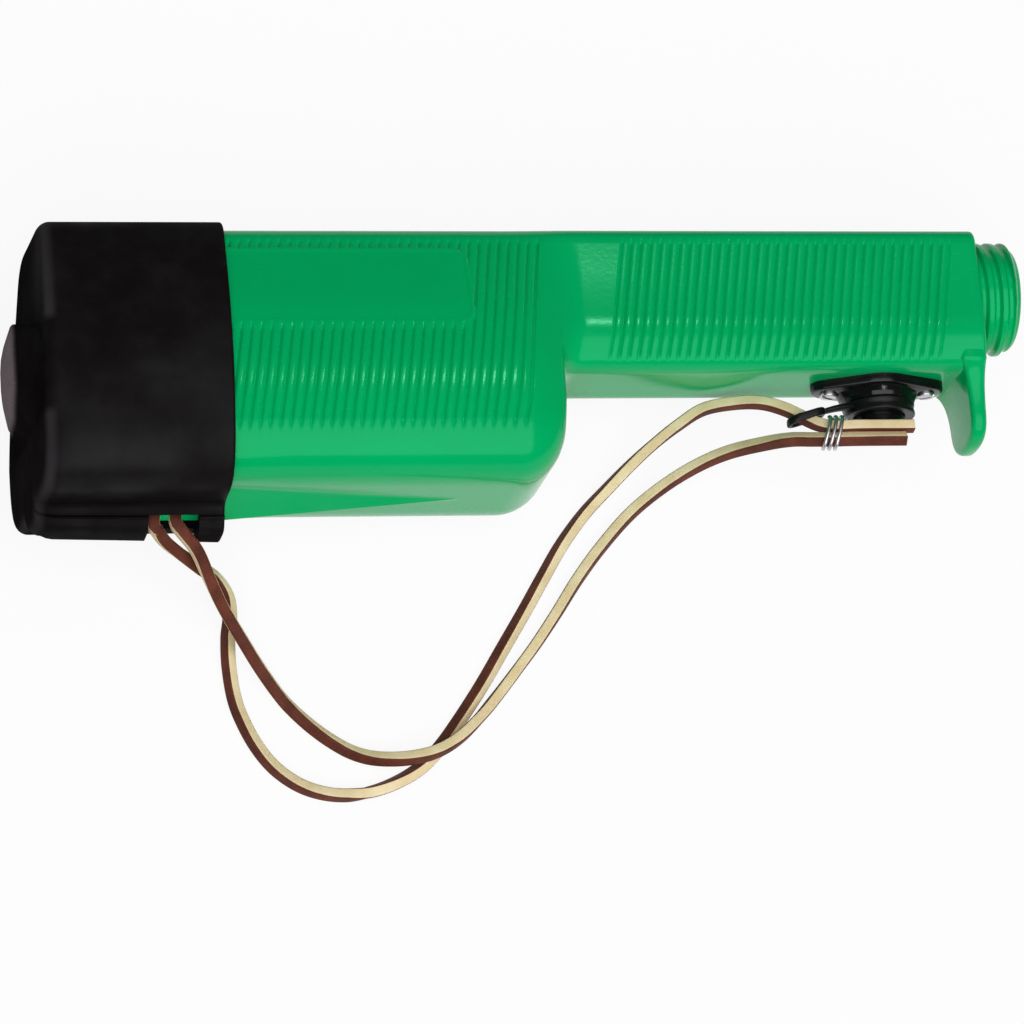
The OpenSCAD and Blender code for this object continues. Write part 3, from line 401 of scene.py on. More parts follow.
def paint_leather(place):
    """Square lace: its UV runs round the section, so two faces are brown grain and two are pale cut edges."""
    around = place.node("UVMap", {"uv_map": "lace"})
    split = place.node("SeparateXYZ", None, {0: around})
    along = split.output("Y")
    face = (split * 2.0 + 0.5).fraction()
    grain = place.noise(scale=1900.0, detail=3.0, roughness=0.6)
    fibre = place.noise(scale=5200.0)
    patch = place.noise(scale=130.0, detail=3.0)
    cells = along * WANDER_PER_METRE
    wander = place.node("TexNoise", {"noise_dimensions": "1D"}, {"W": cells, "Scale": 1.0}) - 0.5
    edge = abs(face - 0.5) + 0.04 * wander + 0.03 * (fibre - 0.5)
    pale = 1.0 - edge.step(low=0.195, high=0.235)
    brown = (patch * 0.6 + grain * 0.4).step(low=0.3, high=0.75).blend(LEATHER_DARK, LEATHER_BROWN)
    cream = (patch * 0.5 + fibre * 0.5).step(low=0.3, high=0.7).blend(LEATHER_STAIN, LEATHER_CREAM)
    return {"Base Color": pale.blend(brown, cream),
            "Roughness": 0.50 + 0.25 * pale + 0.12 * grain,
            "Normal": (grain * 0.6 + fibre * 0.4).bump(height=0.00022, strength=0.7)}


PAINTS = {
    "case_green": (paint_green, {"Specular IOR Level": 0.24, "IOR": 1.5, "Specular Tint": GREEN_GLOSS}),
    "boot_rubber": (paint_boot, {"Specular IOR Level": 0.0, "Coat Roughness": 0.42, "Coat IOR": 1.4}),
    "switch_rubber": (paint_rubber, {"Specular IOR Level": 0.22}),
    "switch_black": (paint_switch, {"Specular IOR Level": 0.3}),
    "inner_black": (paint_inner, {}),
    "brass": (paint_brass, {"Metallic": 1.0}),
    "steel": (paint_steel, {"Metallic": 1.0}),
    "leather": (paint_leather, {"Specular IOR Level": 0.15}),
    "board": (paint_board, {}),
    "potting": (paint_potting, {}),
    "cell_jacket": (paint_cell, {"Metallic": 0.9}),
    "lead_sheath": (paint_sheath, {}),
}
FINISH = {name: material(name, paint, constants) for name, (paint, constants) in PAINTS.items()}

# Mesh helpers
MERGE_DISTANCE = 2e-7
SPLINE_STEPS = 12
CORNER_SHARE = 0.48
TINY = 1e-6


def grid_faces(rows, columns, wrap_rows=False, wrap_columns=False):
    """Four-sided faces of a grid whose point (i, j) has the number i * columns + j."""
    i = np.arange(rows if wrap_rows else rows - 1)[:, None]
    j = np.arange(columns if wrap_columns else columns - 1)[None, :]
    next_i = (i + 1) % rows
    next_j = (j + 1) % columns
    corners = [i * columns + j, next_i * columns + j, next_i * columns + next_j, i * columns + next_j]
    return np.stack(corners, axis=-1).reshape(-1, 4).tolist()


def make_piece(name, shells, slot, body, nodes, uv=None, sharp=40.0):
    """A piece from shells, each an array of points in millimetres and its faces as point numbers."""
    points = []
    faces = []
    count = 0
    for shell_points, shell_faces in shells:
        flat = np.asarray(shell_points, dtype=float).reshape(-1, 3)
        points.append(flat)
        faces += [[count + k for k in face] for face in shell_faces]
        count += len(flat)
    mesh = bpy.data.meshes.new(name)
    mesh.from_pydata(to_frame(np.concatenate(points)).tolist(), [], faces)
    if uv is not None:
        corner = np.empty(len(mesh.loops), dtype=np.int32)
        mesh.loops.foreach_get("vertex_index", corner)
        mesh.uv_layers.new(name="lace").data.foreach_set("uv", uv.reshape(-1, 2)[corner].ravel())
    shape = bmesh.new()
    shape.from_mesh(mesh)
    bmesh.ops.remove_doubles(shape, verts=shape.verts, dist=MERGE_DISTANCE)
    bmesh.ops.recalc_face_normals(shape, faces=shape.faces)
    shape.to_mesh(mesh)
    shape.free()
    mesh.polygons.foreach_set("use_smooth", np.ones(len(mesh.polygons), dtype=bool))
    mesh.set_sharp_from_angle(angle=math.radians(sharp))
    piece = bpy.data.objects.new(name, mesh)
    piece.data.materials.append(FINISH[slot])
    bpy.context.collection.objects.link(piece)
    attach(piece, body)
    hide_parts(*nodes)
    return piece


def smooth(value, low, high):
    """Rises smoothly from 0 at low to 1 at high."""
    t = np.clip((value - low) / (high - low), 0.0, 1.0)
    return t * t * (3.0 - 2.0 * t)


def spline(points, step):
    """A smooth curve through points (Catmull-Rom), resampled to even steps along its length."""
    points = np.asarray(points, dtype=float)
    ends = np.vstack([2 * points[0] - points[1], points, 2 * points[-1] - points[-2]])
    t = np.linspace(0.0, 1.0, SPLINE_STEPS, endpoint=False)[None, :, None]
    a, b, c, d = (ends[k:len(ends) - 3 + k, None, :] for k in range(4))
    square_term = 2 * a - 5 * b + 4 * c - d
    cube_term = 3 * b - a - 3 * c + d
    curve = 0.5 * (2 * b + (c - a) * t + square_term * t ** 2 + cube_term * t ** 3)
    curve = np.vstack([curve.reshape(-1, 3), points[-1]])
    travelled = np.concatenate([[0.0], np.cumsum(np.linalg.norm(np.diff(curve, axis=0), axis=1))])
    count = max(2, int(round(travelled[-1] / step)) + 1)
    stops = np.linspace(0.0, travelled[-1], count)
    return np.stack([np.interp(stops, travelled, curve[:, k]) for k in range(3)], axis=1)


def path_length(path):
    """Sum of the distances between neighbours on a path."""
    return float(np.linalg.norm(np.diff(path, axis=0), axis=1).sum())


def sweep(path, section, turn, up=(0.0, 0.0, 1.0)):
    """A closed section carried along a path: its first axis lies across it and level, turned by turn."""
    tangent = np.gradient(path, axis=0)
    tangent /= np.linalg.norm(tangent, axis=1, keepdims=True)
    across = np.cross(tangent, np.asarray(up))
    across /= np.linalg.norm(across, axis=1, keepdims=True)
    rise = np.cross(across, tangent)
    turn = np.broadcast_to(turn, len(path))[:, None]
    first = across * np.cos(turn) + rise * np.sin(turn)
    second = rise * np.cos(turn) - across * np.sin(turn)
    return path[:, None] + section[None, :, :1] * first[:, None] + section[None, :, 1:] * second[:, None]


def capped(rings):
    """Faces of rings that close on themselves, with a flat cap on the first and last ring."""
    rows, columns = rings.shape[:2]
    caps = [list(range(columns)), list(range((rows - 1) * columns, rows * columns))]
    return grid_faces(rows, columns, wrap_columns=True) + caps


def round_angles(steps):
    """Angles of even steps round a circle, from zero."""
    return np.arange(steps) * 2 * math.pi / steps


def directions(angle):
    """Unit vectors at each angle."""
    return np.stack([np.cos(angle), np.sin(angle)], axis=-1)


def turned_y(profile, steps, centre_x=SWITCH_X):
    """A profile of radius and height turned about an upright axis; ends at radius zero close."""
    profile = np.asarray(profile, dtype=float)
    angle = round_angles(steps)
    x = centre_x + profile[:, :1] * np.cos(angle)
    z = profile[:, :1] * np.sin(angle)
    y = np.broadcast_to(profile[:, 1:], x.shape)
    return np.stack([x, y, z], axis=-1)


def soften(profile, radius, steps=4):
    """A chain of points with each inner corner swapped for a curve that starts and ends radius away."""
    profile = np.asarray(profile, dtype=float)
    corner = profile[1:-1]
    before = profile[:-2] - corner
    after = profile[2:] - corner
    length_before = np.linalg.norm(before, axis=1)
    length_after = np.linalg.norm(after, axis=1)
    reach_before = np.minimum(radius, CORNER_SHARE * length_before)
    reach_after = np.minimum(radius, CORNER_SHARE * length_after)
    enter = corner + before / length_before[:, None] * reach_before[:, None]
    leave = corner + after / length_after[:, None] * reach_after[:, None]
    t = np.linspace(0.0, 1.0, steps + 1)[None, :, None]
    curve = (1 - t) ** 2 * enter[:, None] + 2 * t * (1 - t) * corner[:, None] + t ** 2 * leave[:, None]
    return np.vstack([profile[:1], curve.reshape(-1, profile.shape[1]), profile[-1:]])


# Strap: one square lace, from a loop round the pin to its two ends under the switch
LACE = 3.4
LACE_EDGE = 3.2
LACE_STEP = 0.9
LACE_EASE = 0.94
LACE_SIDE_STEPS = 6
LACE_CROWD = 0.8
LACE_CORNER = 0.10
LACE_CORNER_POWER = 6
LACE_UV_START = 0.125
STRAND_START_Y = -66.1
LOOP_RADIUS = 3.3
LOOP_STEPS = 9
PIN_Y = -57.6
INNER_START = (STRAP_X + LOOP_RADIUS, STRAND_START_Y, 0.0)
OUTER_START = (STRAP_X - LOOP_RADIUS, STRAND_START_Y, 0.0)
INNER_LEG = [(46.25, -65.0, 0.78), (46.0, -62.4, 0.6)]
OUTER_LEG = [(40.1, -62.4, 0.8), (39.76, -65.3, 1.17)]
INNER_ROUTE = [
    (52, -71, -3.5), (56, -76.5, -10.5), (60.5, -83, -17.5), (66, -90.5, -23), (72.5, -99.5, -28),
    (79, -108, -30.2), (86, -115, -30.4), (93.5, -120.5, -30.2), (100.5, -123.8, -29), (108, -125, -27.2),
    (115, -124.6, -26), (121, -122.8, -25.8), (127, -119, -26.4), (133, -113.2, -28), (139, -106.3, -29.6),
    (145, -99, -30.4), (151, -91.5, -30.4), (157.5, -82.5, -30.4), (164, -73, -30.4), (171.5, -63.5, -30.2),
    (180.5, -54, -28.8), (190, -47, -25.4), (199, -42.6, -20), (207, -40.7, -13.5), (215.5, -41, -4.5),
    (221, -42, 2), (226, -43.5, 6.8), (231, -44.3, 9.4), (237, -44.4, 10.1), (244, -44.4, 10.2),
    (252, -44.4, 10.2)]
OUTER_ROUTE = [
    (43.5, -68.5, -3.5), (48.5, -70.8, -8.5), (54, -73, -13.5), (59, -75, -18), (62.8, -78.8, -23),
    (64, -83.5, -27.6), (63.5, -89, -30), (63.4, -97, -30.4), (64.5, -106.5, -30.4), (67, -114, -30.4),
    (70.5, -120.8, -30.4), (75, -126.5, -30.4), (81, -131, -30.4), (87.5, -133.5, -30.4),
    (94.5, -134.3, -30.4), (102, -133.3, -30.4), (109, -130.8, -30.4), (115.5, -127, -30.4),
    (121.5, -121.2, -30.4), (127.5, -113.5, -30.4), (134.5, -103.5, -30.4), (141.5, -92.5, -30.4),
    (148, -82.3, -30.4), (154, -72.5, -30.4), (160, -63, -30.4), (167, -54, -30), (174, -47, -28.6),
    (181, -40.5, -25.8), (187, -35.8, -21.5), (193, -32, -16.2), (199.5, -29, -10.5), (207.5, -28.8, -5.5),
    (214, -30.2, -1), (219.5, -33, 2.2), (224.5, -36.6, 4.8), (228, -39.4, 7.6), (232, -40.7, 9.4),
    (238, -40.8, 10.2), (246, -40.8, 10.2), (254.5, -40.8, 10.2)]
# Twists of the lace: rows are a share of the strand's length and degrees
INNER_TURNS = [
    (0.0, 90), (0.04, 87), (0.07, 74), (0.12, 70), (0.2, 68), (0.255, 50), (0.29, 42), (0.32, 33),
    (0.345, 25), (0.39, 10), (0.45, -8), (0.52, 2), (0.6, 12), (0.68, 16), (0.77, 19), (0.85, 24),
    (0.93, 40), (1.0, 42)]
OUTER_TURNS = [
    (0.0, 90), (0.018, 74), (0.045, 62), (0.075, 42), (0.11, 35), (0.167, 36), (0.215, 34), (0.24, 29),
    (0.285, 22), (0.33, 10), (0.35, -18), (0.40, -42), (0.44, -50), (0.5, -50), (0.555, -42), (0.625, -33),
    (0.70, -18), (0.755, -6), (0.81, 6), (0.86, 8), (1.0, 8)]
BEND_TURNS = [(0.0, 90), (1.0, 90)]


def lace_section():
    """A square of the lace's two thicknesses with eased corners: one side's points, turned by quarters."""
    t = np.linspace(-1.0, 1.0, LACE_SIDE_STEPS, endpoint=False)
    side = np.stack([np.ones(LACE_SIDE_STEPS), np.sign(t) * np.abs(t) ** LACE_CROWD], axis=1)
    side *= (1.0 - LACE_CORNER * np.abs(t) ** LACE_CORNER_POWER)[:, None]
    quarter = np.array([[0, 1], [-1, 0]])
    square = np.concatenate([side @ np.linalg.matrix_power(quarter, k) for k in range(4)])
    return square * np.array([LACE_EDGE / 2, LACE / 2])


def lace_piece(name, route, turns, nodes):
    """The lace section swept along a route, no lower than the ground, and twisted by turns."""
    path = spline(route, LACE_STEP)
    share = np.linspace(0.0, 1.0, len(path))
    turn = np.radians(np.interp(share, *np.transpose(turns)))
    half_height = LACE_EASE * (LACE_EDGE / 2 * np.abs(np.sin(turn)) + LACE / 2 * np.abs(np.cos(turn)))
    path[:, 2] = np.maximum(path[:, 2], GROUND_Z + half_height)
    section = lace_section()
    rings = sweep(path, np.vstack([section, section[:1]]), turn)
    rows, columns = rings.shape[:2]
    around = np.broadcast_to(np.arange(columns) / (columns - 1) + LACE_UV_START, (rows, columns))
    along = np.broadcast_to((share * path_length(path) * MM)[:, None], (rows, columns))
    caps = [list(range(columns - 1)), list(range((rows - 1) * columns, rows * columns - 1))]
    piece = make_piece(name, [(rings, grid_faces(rows, columns) + caps)], "leather", "case", nodes,
                       uv=np.stack([around, along], axis=-1), sharp=70.0)
    return piece, path


def bend_route():
    """From the inner strand up one leg, in a half round over the pin and down to the outer strand."""
    angle = np.radians(np.linspace(0.0, 180.0, LOOP_STEPS))
    bend = [(STRAP_X + LOOP_RADIUS * math.cos(a), PIN_Y + LOOP_RADIUS * math.sin(a), 0.0) for a in angle]
    return [INNER_START] + INNER_LEG + bend + OUTER_LEG + [OUTER_START]


lace_inner, inner_path = lace_piece("inner_strand", [INNER_START] + INNER_ROUTE, INNER_TURNS, ["lace_inner"])
lace_outer, outer_path = lace_piece("outer_strand", [OUTER_START] + OUTER_ROUTE, OUTER_TURNS, ["lace_outer"])
lace_piece("strap_bend", bend_route(), BEND_TURNS, ["lace_loop"])

CLIP_START = np.array([229.0, -42.3, 9.0])
CLIP_TURNS = 3
CLIP_TURN_STEPS = 40
CLIP_PITCH = 1.7
CLIP_HALF_Y = 4.6
CLIP_HALF_Z = 3.0
CLIP_SLANT = 0.36
CLIP_WIRE = 1.1
CLIP_WIRE_SIDES = 12


def wire_clip():
    """A round wire wound three times about both strands, as an oblong coil slanting forwards at its top."""
    a = np.linspace(0.0, 2 * math.pi * CLIP_TURNS, CLIP_TURN_STEPS * CLIP_TURNS + 1)
    height = CLIP_HALF_Y * np.cos(a)
    forward = CLIP_PITCH * a / (2 * math.pi) + CLIP_SLANT * height
    path = CLIP_START + np.stack([forward, height, CLIP_HALF_Z * np.sin(a)], axis=1)
    wire = CLIP_WIRE / 2 * directions(round_angles(CLIP_WIRE_SIDES))
    rings = sweep(path, wire, 0.0, up=(1.0, 0.0, 0.0))
    return make_piece("clip_coil", [(rings, capped(rings))], "steel", "case", ["wire_clip"])


clip = wire_clip()


# Sections of the case: rows are corners as half width, height and softness
BODY_CORNERS = np.array([(0, TOP_Y, 0), (15, TOP_Y, 5), (25.4, -11.7, 6), (29.6, -31, 9),
                         (27.8, BODY_FOOT_Y, 15), (KEEL_HALF, BODY_FOOT_Y, 0.8), (0, BODY_FOOT_Y, 0)])
GRIP_CORNERS = np.array([(0, TOP_Y, 0), (15.6, TOP_Y, 5), (17.1, -3, 6), (18.5, -15.4, 5),
                         (15.9, GRIP_FOOT_Y, 6), (1, GRIP_FOOT_Y, 0.8), (0, GRIP_FOOT_Y, 0)])
FLANK_CORNERS = 4
ROUND_SHARE = 0.85
SOFT_SHARE = 0.8
SOFT_LEAST = 0.8
BODY_FRONT_ROUND = 14.0
GRIP_ROOT_ROUND = 6.0
SHOULDER_BEFORE = 13.0
SHOULDER_AFTER = 8.0
KEEL_LEAST = 1.0


def inset(corners, width):
    """Corners moved inwards by width along the bisectors of their edges, or outwards below zero."""
    place = corners[..., :2]
    along = np.diff(place, axis=-2)
    along /= np.linalg.norm(along, axis=-1, keepdims=True)
    inward = np.stack([along[..., 1], -along[..., 0]], axis=-1)
    first, second = inward[..., :-1, :], inward[..., 1:, :]
    width = np.asarray(width, dtype=float)
    spread = width[..., None, None] / (1 + (first * second).sum(axis=-1, keepdims=True))
    moved = corners.copy()
    moved[..., 1:-1, :2] += (first + second) * spread
    moved[..., 1:-1, 2] = np.maximum(SOFT_LEAST, corners[..., 1:-1, 2] - width[..., None] * SOFT_SHARE)
    moved[..., 0, 1] -= width
    moved[..., -1, 1] += width
    return moved


def outline(corners, line_steps, arc_steps):
    """Points of a section from the top to the underside: a curve at each corner and straight runs between."""
    place = corners[..., :2]
    soft = corners[..., 2]
    edge = np.diff(place, axis=-2)
    length = np.linalg.norm(edge, axis=-1)
    along = edge / np.maximum(length, TINY)[..., None]
    pair = soft[..., 1:] + soft[..., :-1] + TINY
    share = ROUND_SHARE * length / pair
    middle = soft[..., 1:-1]
    enter = place[..., 1:-1, :] - along[..., :-1, :] * (middle * np.minimum(1.0, share[..., :-1]))[..., None]
    leave = place[..., 1:-1, :] + along[..., 1:, :] * (middle * np.minimum(1.0, share[..., 1:]))[..., None]
    runs = []
    start = place[..., 0, None, :]
    for k in range(corners.shape[-2] - 2):
        stop = enter[..., k, None, :]
        t = np.arange(line_steps[k])[:, None] / line_steps[k]
        runs.append(start + (stop - start) * t)
        t = np.arange(arc_steps[k])[:, None] / arc_steps[k]
        turn = place[..., k + 1, None, :]
        start = leave[..., k, None, :]
        runs.append((1 - t) ** 2 * stop + 2 * t * (1 - t) * turn + t ** 2 * start)
    t = np.arange(line_steps[-1] + 1)[:, None] / line_steps[-1]
    runs.append(start + (place[..., -1, None, :] - start) * t)
    return np.concatenate(runs, axis=-2)


def foot_share(x):
    """Share of the way from the body's underside to the grip's: a round, a front face and a root."""
    drop = GRIP_FOOT_Y - BODY_FOOT_Y
    u = x - BODY_FRONT_X
    a = np.clip(u + BODY_FRONT_ROUND, 0.0, BODY_FRONT_ROUND)
    b = np.clip(GRIP_ROOT_ROUND - u, 0.0, GRIP_ROOT_ROUND)
    rise = (BODY_FRONT_ROUND - np.sqrt(BODY_FRONT_ROUND ** 2 - a ** 2)) / drop
    fall = 1 - (GRIP_ROOT_ROUND - np.sqrt(GRIP_ROOT_ROUND ** 2 - b ** 2)) / drop
    return np.where(u <= 0, rise, fall)


def case_corners(x, keel=1.0):
    """Corners of the case at each x: body to grip by two shares, with a keel fading out underneath."""
    x = np.asarray(x, dtype=float)
    flank = smooth(x, BODY_FRONT_X - SHOULDER_BEFORE, BODY_FRONT_X + SHOULDER_AFTER)
    share = np.repeat(flank[..., None], len(BODY_CORNERS), axis=-1)
    share[..., FLANK_CORNERS:] = foot_share(x)[..., None]
    corners = BODY_CORNERS + (GRIP_CORNERS - BODY_CORNERS) * share[..., None]
    fade = np.clip((KEEL_TIP_X - x) / (KEEL_TIP_X - BOOT_MOUTH_X), 0.0, 1.0)
    corners[..., -2, 0] = np.maximum(KEEL_LEAST, KEEL_HALF * fade)
    corners[..., -1, 1] -= keel * KEEL_DEPTH * fade
    return corners


# Ribs of the case: grooves across both flanks, leaning with the stations
RIB_PITCH = 2.8
RIB_LEAN = math.radians(10.0)
RIB_PIVOT_Y = 5.0
RIB_DEPTH = 0.62
RIB_WIDTH = 0.42
RIB_STEPS = 10
RIB_TAIL = 0.5
RIB_END_EDGE = 0.1
RIB_TOP_Y = 11.7
RIB_TOP_EDGE = 0.5
RIB_FOOT_EDGE = 0.6
BODY_RIB_END = 148.0
BODY_RIB_COUNT = 33
BODY_RIB_START = BODY_RIB_END - BODY_RIB_COUNT * RIB_PITCH
BODY_RIB_FOOT_Y = -44.0
GRIP_RIB_START = 172.0
GRIP_RIB_END = 266.7
GRIP_RIB_FOOT_Y = -22.5
# Label panel: a smooth field among the ribs with a raised rim and a chamfered corner
PANEL_TOP_Y = 8.8
PANEL_FOOT_Y = -14.8
PANEL_END_X = 127.7
PANEL_CHAMFER = 2.6
PANEL_EDGE = (0.3, 1.2)
PANEL_RIM = 0.22
PANEL_RIM_AT = 0.2
PANEL_RIM_WIDTH = 0.5
# Stations and steps of the case's skin
PLAIN_END_X = 49.0
PLAIN_STEPS = 20
FINE_LEAD = 2 * RIB_PITCH
FINE_START_X = BODY_RIB_START - FINE_LEAD
STATION_DIGITS = 5
SHOULDER_CROWD = 4.6
ROOT_CROWD_GAP = 0.02
SHOULDER_GAP = 0.6
QUARTER_STEPS = 16
SHOULDER_STEPS = 18
FRONT_STEPS = 10
FRONT_ROUND = 1.2
FRONT_ROUND_STEPS = 6
LEAN_FULL_X = 44.0
LEAN_GRIP_LEAD = 1.0
LEAN_GRIP_TAIL = 0.8
LEAN_FRONT_GAP = 2.0
NECK_RADIUS = 14.9
NECK_STEPS = 5
INNER_GRIP_X = (GRIP_FRONT_X, 165.0, 6)
INNER_SHOULDER_X = (BODY_FRONT_X + 8.0, BODY_FRONT_X - 14.0, 14)
INNER_BODY_X = (130.0, CASE_REAR_X, 12)
CASE_LINES = (6, 26, 11, 10, 6, 6)
CASE_ARCS = (8, 10, 8, 11, 3)


def case_stations():
    """Stations of the outer skin: ten to a rib where it is ribbed, and close through the shoulder."""
    fine = RIB_PITCH / RIB_STEPS
    quarter = np.linspace(0.0, math.pi / 2, QUARTER_STEPS)
    front = np.linspace(0.0, math.pi / 2, FRONT_ROUND_STEPS)
    shoulder_x = BODY_FRONT_X + GRIP_ROOT_ROUND + SHOULDER_GAP
    grip_end = GRIP_RIB_END + RIB_PITCH / 2 + fine / 2
    return np.unique(np.round(np.concatenate([
        np.linspace(CASE_REAR_X, PLAIN_END_X, PLAIN_STEPS),
        np.arange(FINE_START_X, BODY_RIB_END + fine / 2, fine),
        BODY_FRONT_X - SHOULDER_CROWD * np.cos(quarter),
        BODY_FRONT_X + GRIP_ROOT_ROUND * (1 - np.cos(quarter)) + ROOT_CROWD_GAP,
        np.linspace(shoulder_x, GRIP_RIB_START - RIB_PITCH, SHOULDER_STEPS),
        np.arange(GRIP_RIB_START - RIB_PITCH / 2, grip_end, fine),
        np.linspace(GRIP_RIB_END + RIB_PITCH, GRIP_FRONT_X - FRONT_ROUND, FRONT_STEPS),
        GRIP_FRONT_X - FRONT_ROUND * (1 - np.sin(front))]), STATION_DIGITS))


def lean_share(u):
    """One where the stations lean with the ribs, and zero at the rear, in the shoulder and at the front."""
    body = smooth(u, CASE_REAR_X, LEAN_FULL_X) * (1 - smooth(u, BODY_RIB_END, BODY_FRONT_X))
    grip = smooth(u, BODY_FRONT_X + GRIP_ROOT_ROUND, GRIP_RIB_START - LEAN_GRIP_LEAD)
    return body + grip * (1 - smooth(u, GRIP_RIB_END + LEAN_GRIP_TAIL, GRIP_FRONT_X - LEAN_FRONT_GAP))


def grooves(u, y, start, end, foot):
    """Bell-shaped grooves a pitch apart between two stations and between two heights, from 0 to 1."""
    inside = smooth(u, start - RIB_END_EDGE, start + RIB_END_EDGE)
    inside = inside * (1 - smooth(u, end - RIB_END_EDGE, end + RIB_END_EDGE))
    inside = inside * (1 - smooth(y, RIB_TOP_Y - RIB_TOP_EDGE, RIB_TOP_Y + RIB_TOP_EDGE))
    inside = inside * smooth(y, foot - RIB_FOOT_EDGE, foot + RIB_FOOT_EDGE)
    away = (u - start + RIB_PITCH / 2) % RIB_PITCH - RIB_PITCH / 2
    return inside * np.exp(-(away / RIB_WIDTH) ** 2)


def rib_relief(u, x, y):
    """Height of the skin over its plain form: grooves across the flank but not the panel, and its rim."""
    half = (PANEL_TOP_Y - PANEL_FOOT_Y) / 2
    middle = (PANEL_TOP_Y + PANEL_FOOT_Y) / 2
    over = np.abs(y - middle) - half
    past = x - PANEL_END_X
    corner = (over + past + PANEL_CHAMFER) / math.sqrt(2)
    outside = np.maximum(np.maximum(over, past), corner)
    body = grooves(u, y, BODY_RIB_START, BODY_RIB_END + RIB_TAIL, BODY_RIB_FOOT_Y)
    grip = grooves(u, y, GRIP_RIB_START, GRIP_RIB_END + RIB_TAIL, GRIP_RIB_FOOT_Y)
    panel = 1 - smooth(outside, *PANEL_EDGE)
    rim = PANEL_RIM * np.exp(-((outside - PANEL_RIM_AT) / PANEL_RIM_WIDTH) ** 2) * (u < BODY_FRONT_X)
    return rim - RIB_DEPTH * (body * (1 - panel) + grip)


def case_skin():
    """Outer skin: the sections along leaning stations, with the relief added along its normals.

    The normals point outwards by their sign at a point on the flank.
    """
    u = case_stations()
    plain = outline(case_corners(u), CASE_LINES, CASE_ARCS)
    rows = plain.shape[1]
    x = u[:, None] + lean_share(u)[:, None] * math.tan(RIB_LEAN) * (plain[..., 1] - RIB_PIVOT_Y)
    edge = np.clip(x - GRIP_FRONT_X + FRONT_ROUND, 0.0, FRONT_ROUND)
    ease = FRONT_ROUND - np.sqrt(FRONT_ROUND ** 2 - edge ** 2)
    eased = [inset(case_corners(x[:, j]), ease[:, j]) for j in range(rows)]
    section = np.stack([outline(eased[j], CASE_LINES, CASE_ARCS)[:, j] for j in range(rows)], axis=1)
    skin = np.stack([x, section[..., 1], section[..., 0]], axis=-1)
    normal = np.cross(np.gradient(skin, axis=1), np.gradient(skin, axis=0))
    normal /= np.maximum(np.linalg.norm(normal, axis=-1, keepdims=True), TINY)
    outward = np.sign(normal[len(u) // 3, rows // 3, 2])
    relief = rib_relief(np.broadcast_to(u[:, None], x.shape), x, skin[..., 1])
    return skin + outward * normal * relief[..., None]


def case_shell():
    """Half of the case: skin, front face round the neck, then the inner wall back to the rear edge."""
    skin = case_skin()
    rows = skin.shape[1]
    face = skin[-1]
    run = np.concatenate([[0.0], np.cumsum(np.linalg.norm(np.diff(face, axis=0), axis=1))])
    neck = np.column_stack([np.full(rows, GRIP_FRONT_X), NECK_RADIUS * directions(math.pi * run / run[-1])])
    front = face + (neck - face) * np.linspace(0.0, 1.0, NECK_STEPS)[1:, None, None]
    behind = neck.copy()
    behind[:, 0] = FRONT_WALL_X
    u = np.concatenate([np.linspace(*span) for span in (INNER_GRIP_X, INNER_SHOULDER_X, INNER_BODY_X)])
    section = outline(inset(case_corners(u, keel=0.0), np.full(len(u), CASE_WALL)), CASE_LINES, CASE_ARCS)
    back = np.where(u > CASE_REAR_X, CASE_WALL, 0.0)
    back[0] = GRIP_FRONT_X - FRONT_WALL_X
    inner_x = np.broadcast_to((u - back)[:, None], section.shape[:2])
    inner = np.stack([inner_x, section[..., 1], section[..., 0]], axis=-1)
    rings = np.concatenate([skin, front, behind[None], inner])
    count = len(rings)
    ends = [[k * rows for k in range(count)], [k * rows + rows - 1 for k in range(count)]]
    return rings, grid_faces(count, rows, wrap_rows=True) + ends


GUARD_REAR_X = 271.5
GUARD_FRONT_X = 275.95
GUARD_TIP_Y = -45.4
GUARD_ROOT_Y = -17.0
GUARD_HALF = 11.6
GUARD_STEPS = 56
GUARD_STRAIGHT = 0.55
GUARD_CORNER = 8.5
GUARD_SQUARE = 0.78
GUARD_FLARE = 5.6
GUARD_FLARE_LEAD = 2.0
GUARD_FADE = 4.6
GUARD_FILLET = 3.4
GUARD_EDGE = 1.7
GUARD_EDGE_STEPS = 13
GUARD_SPINE_FROM = 0.5


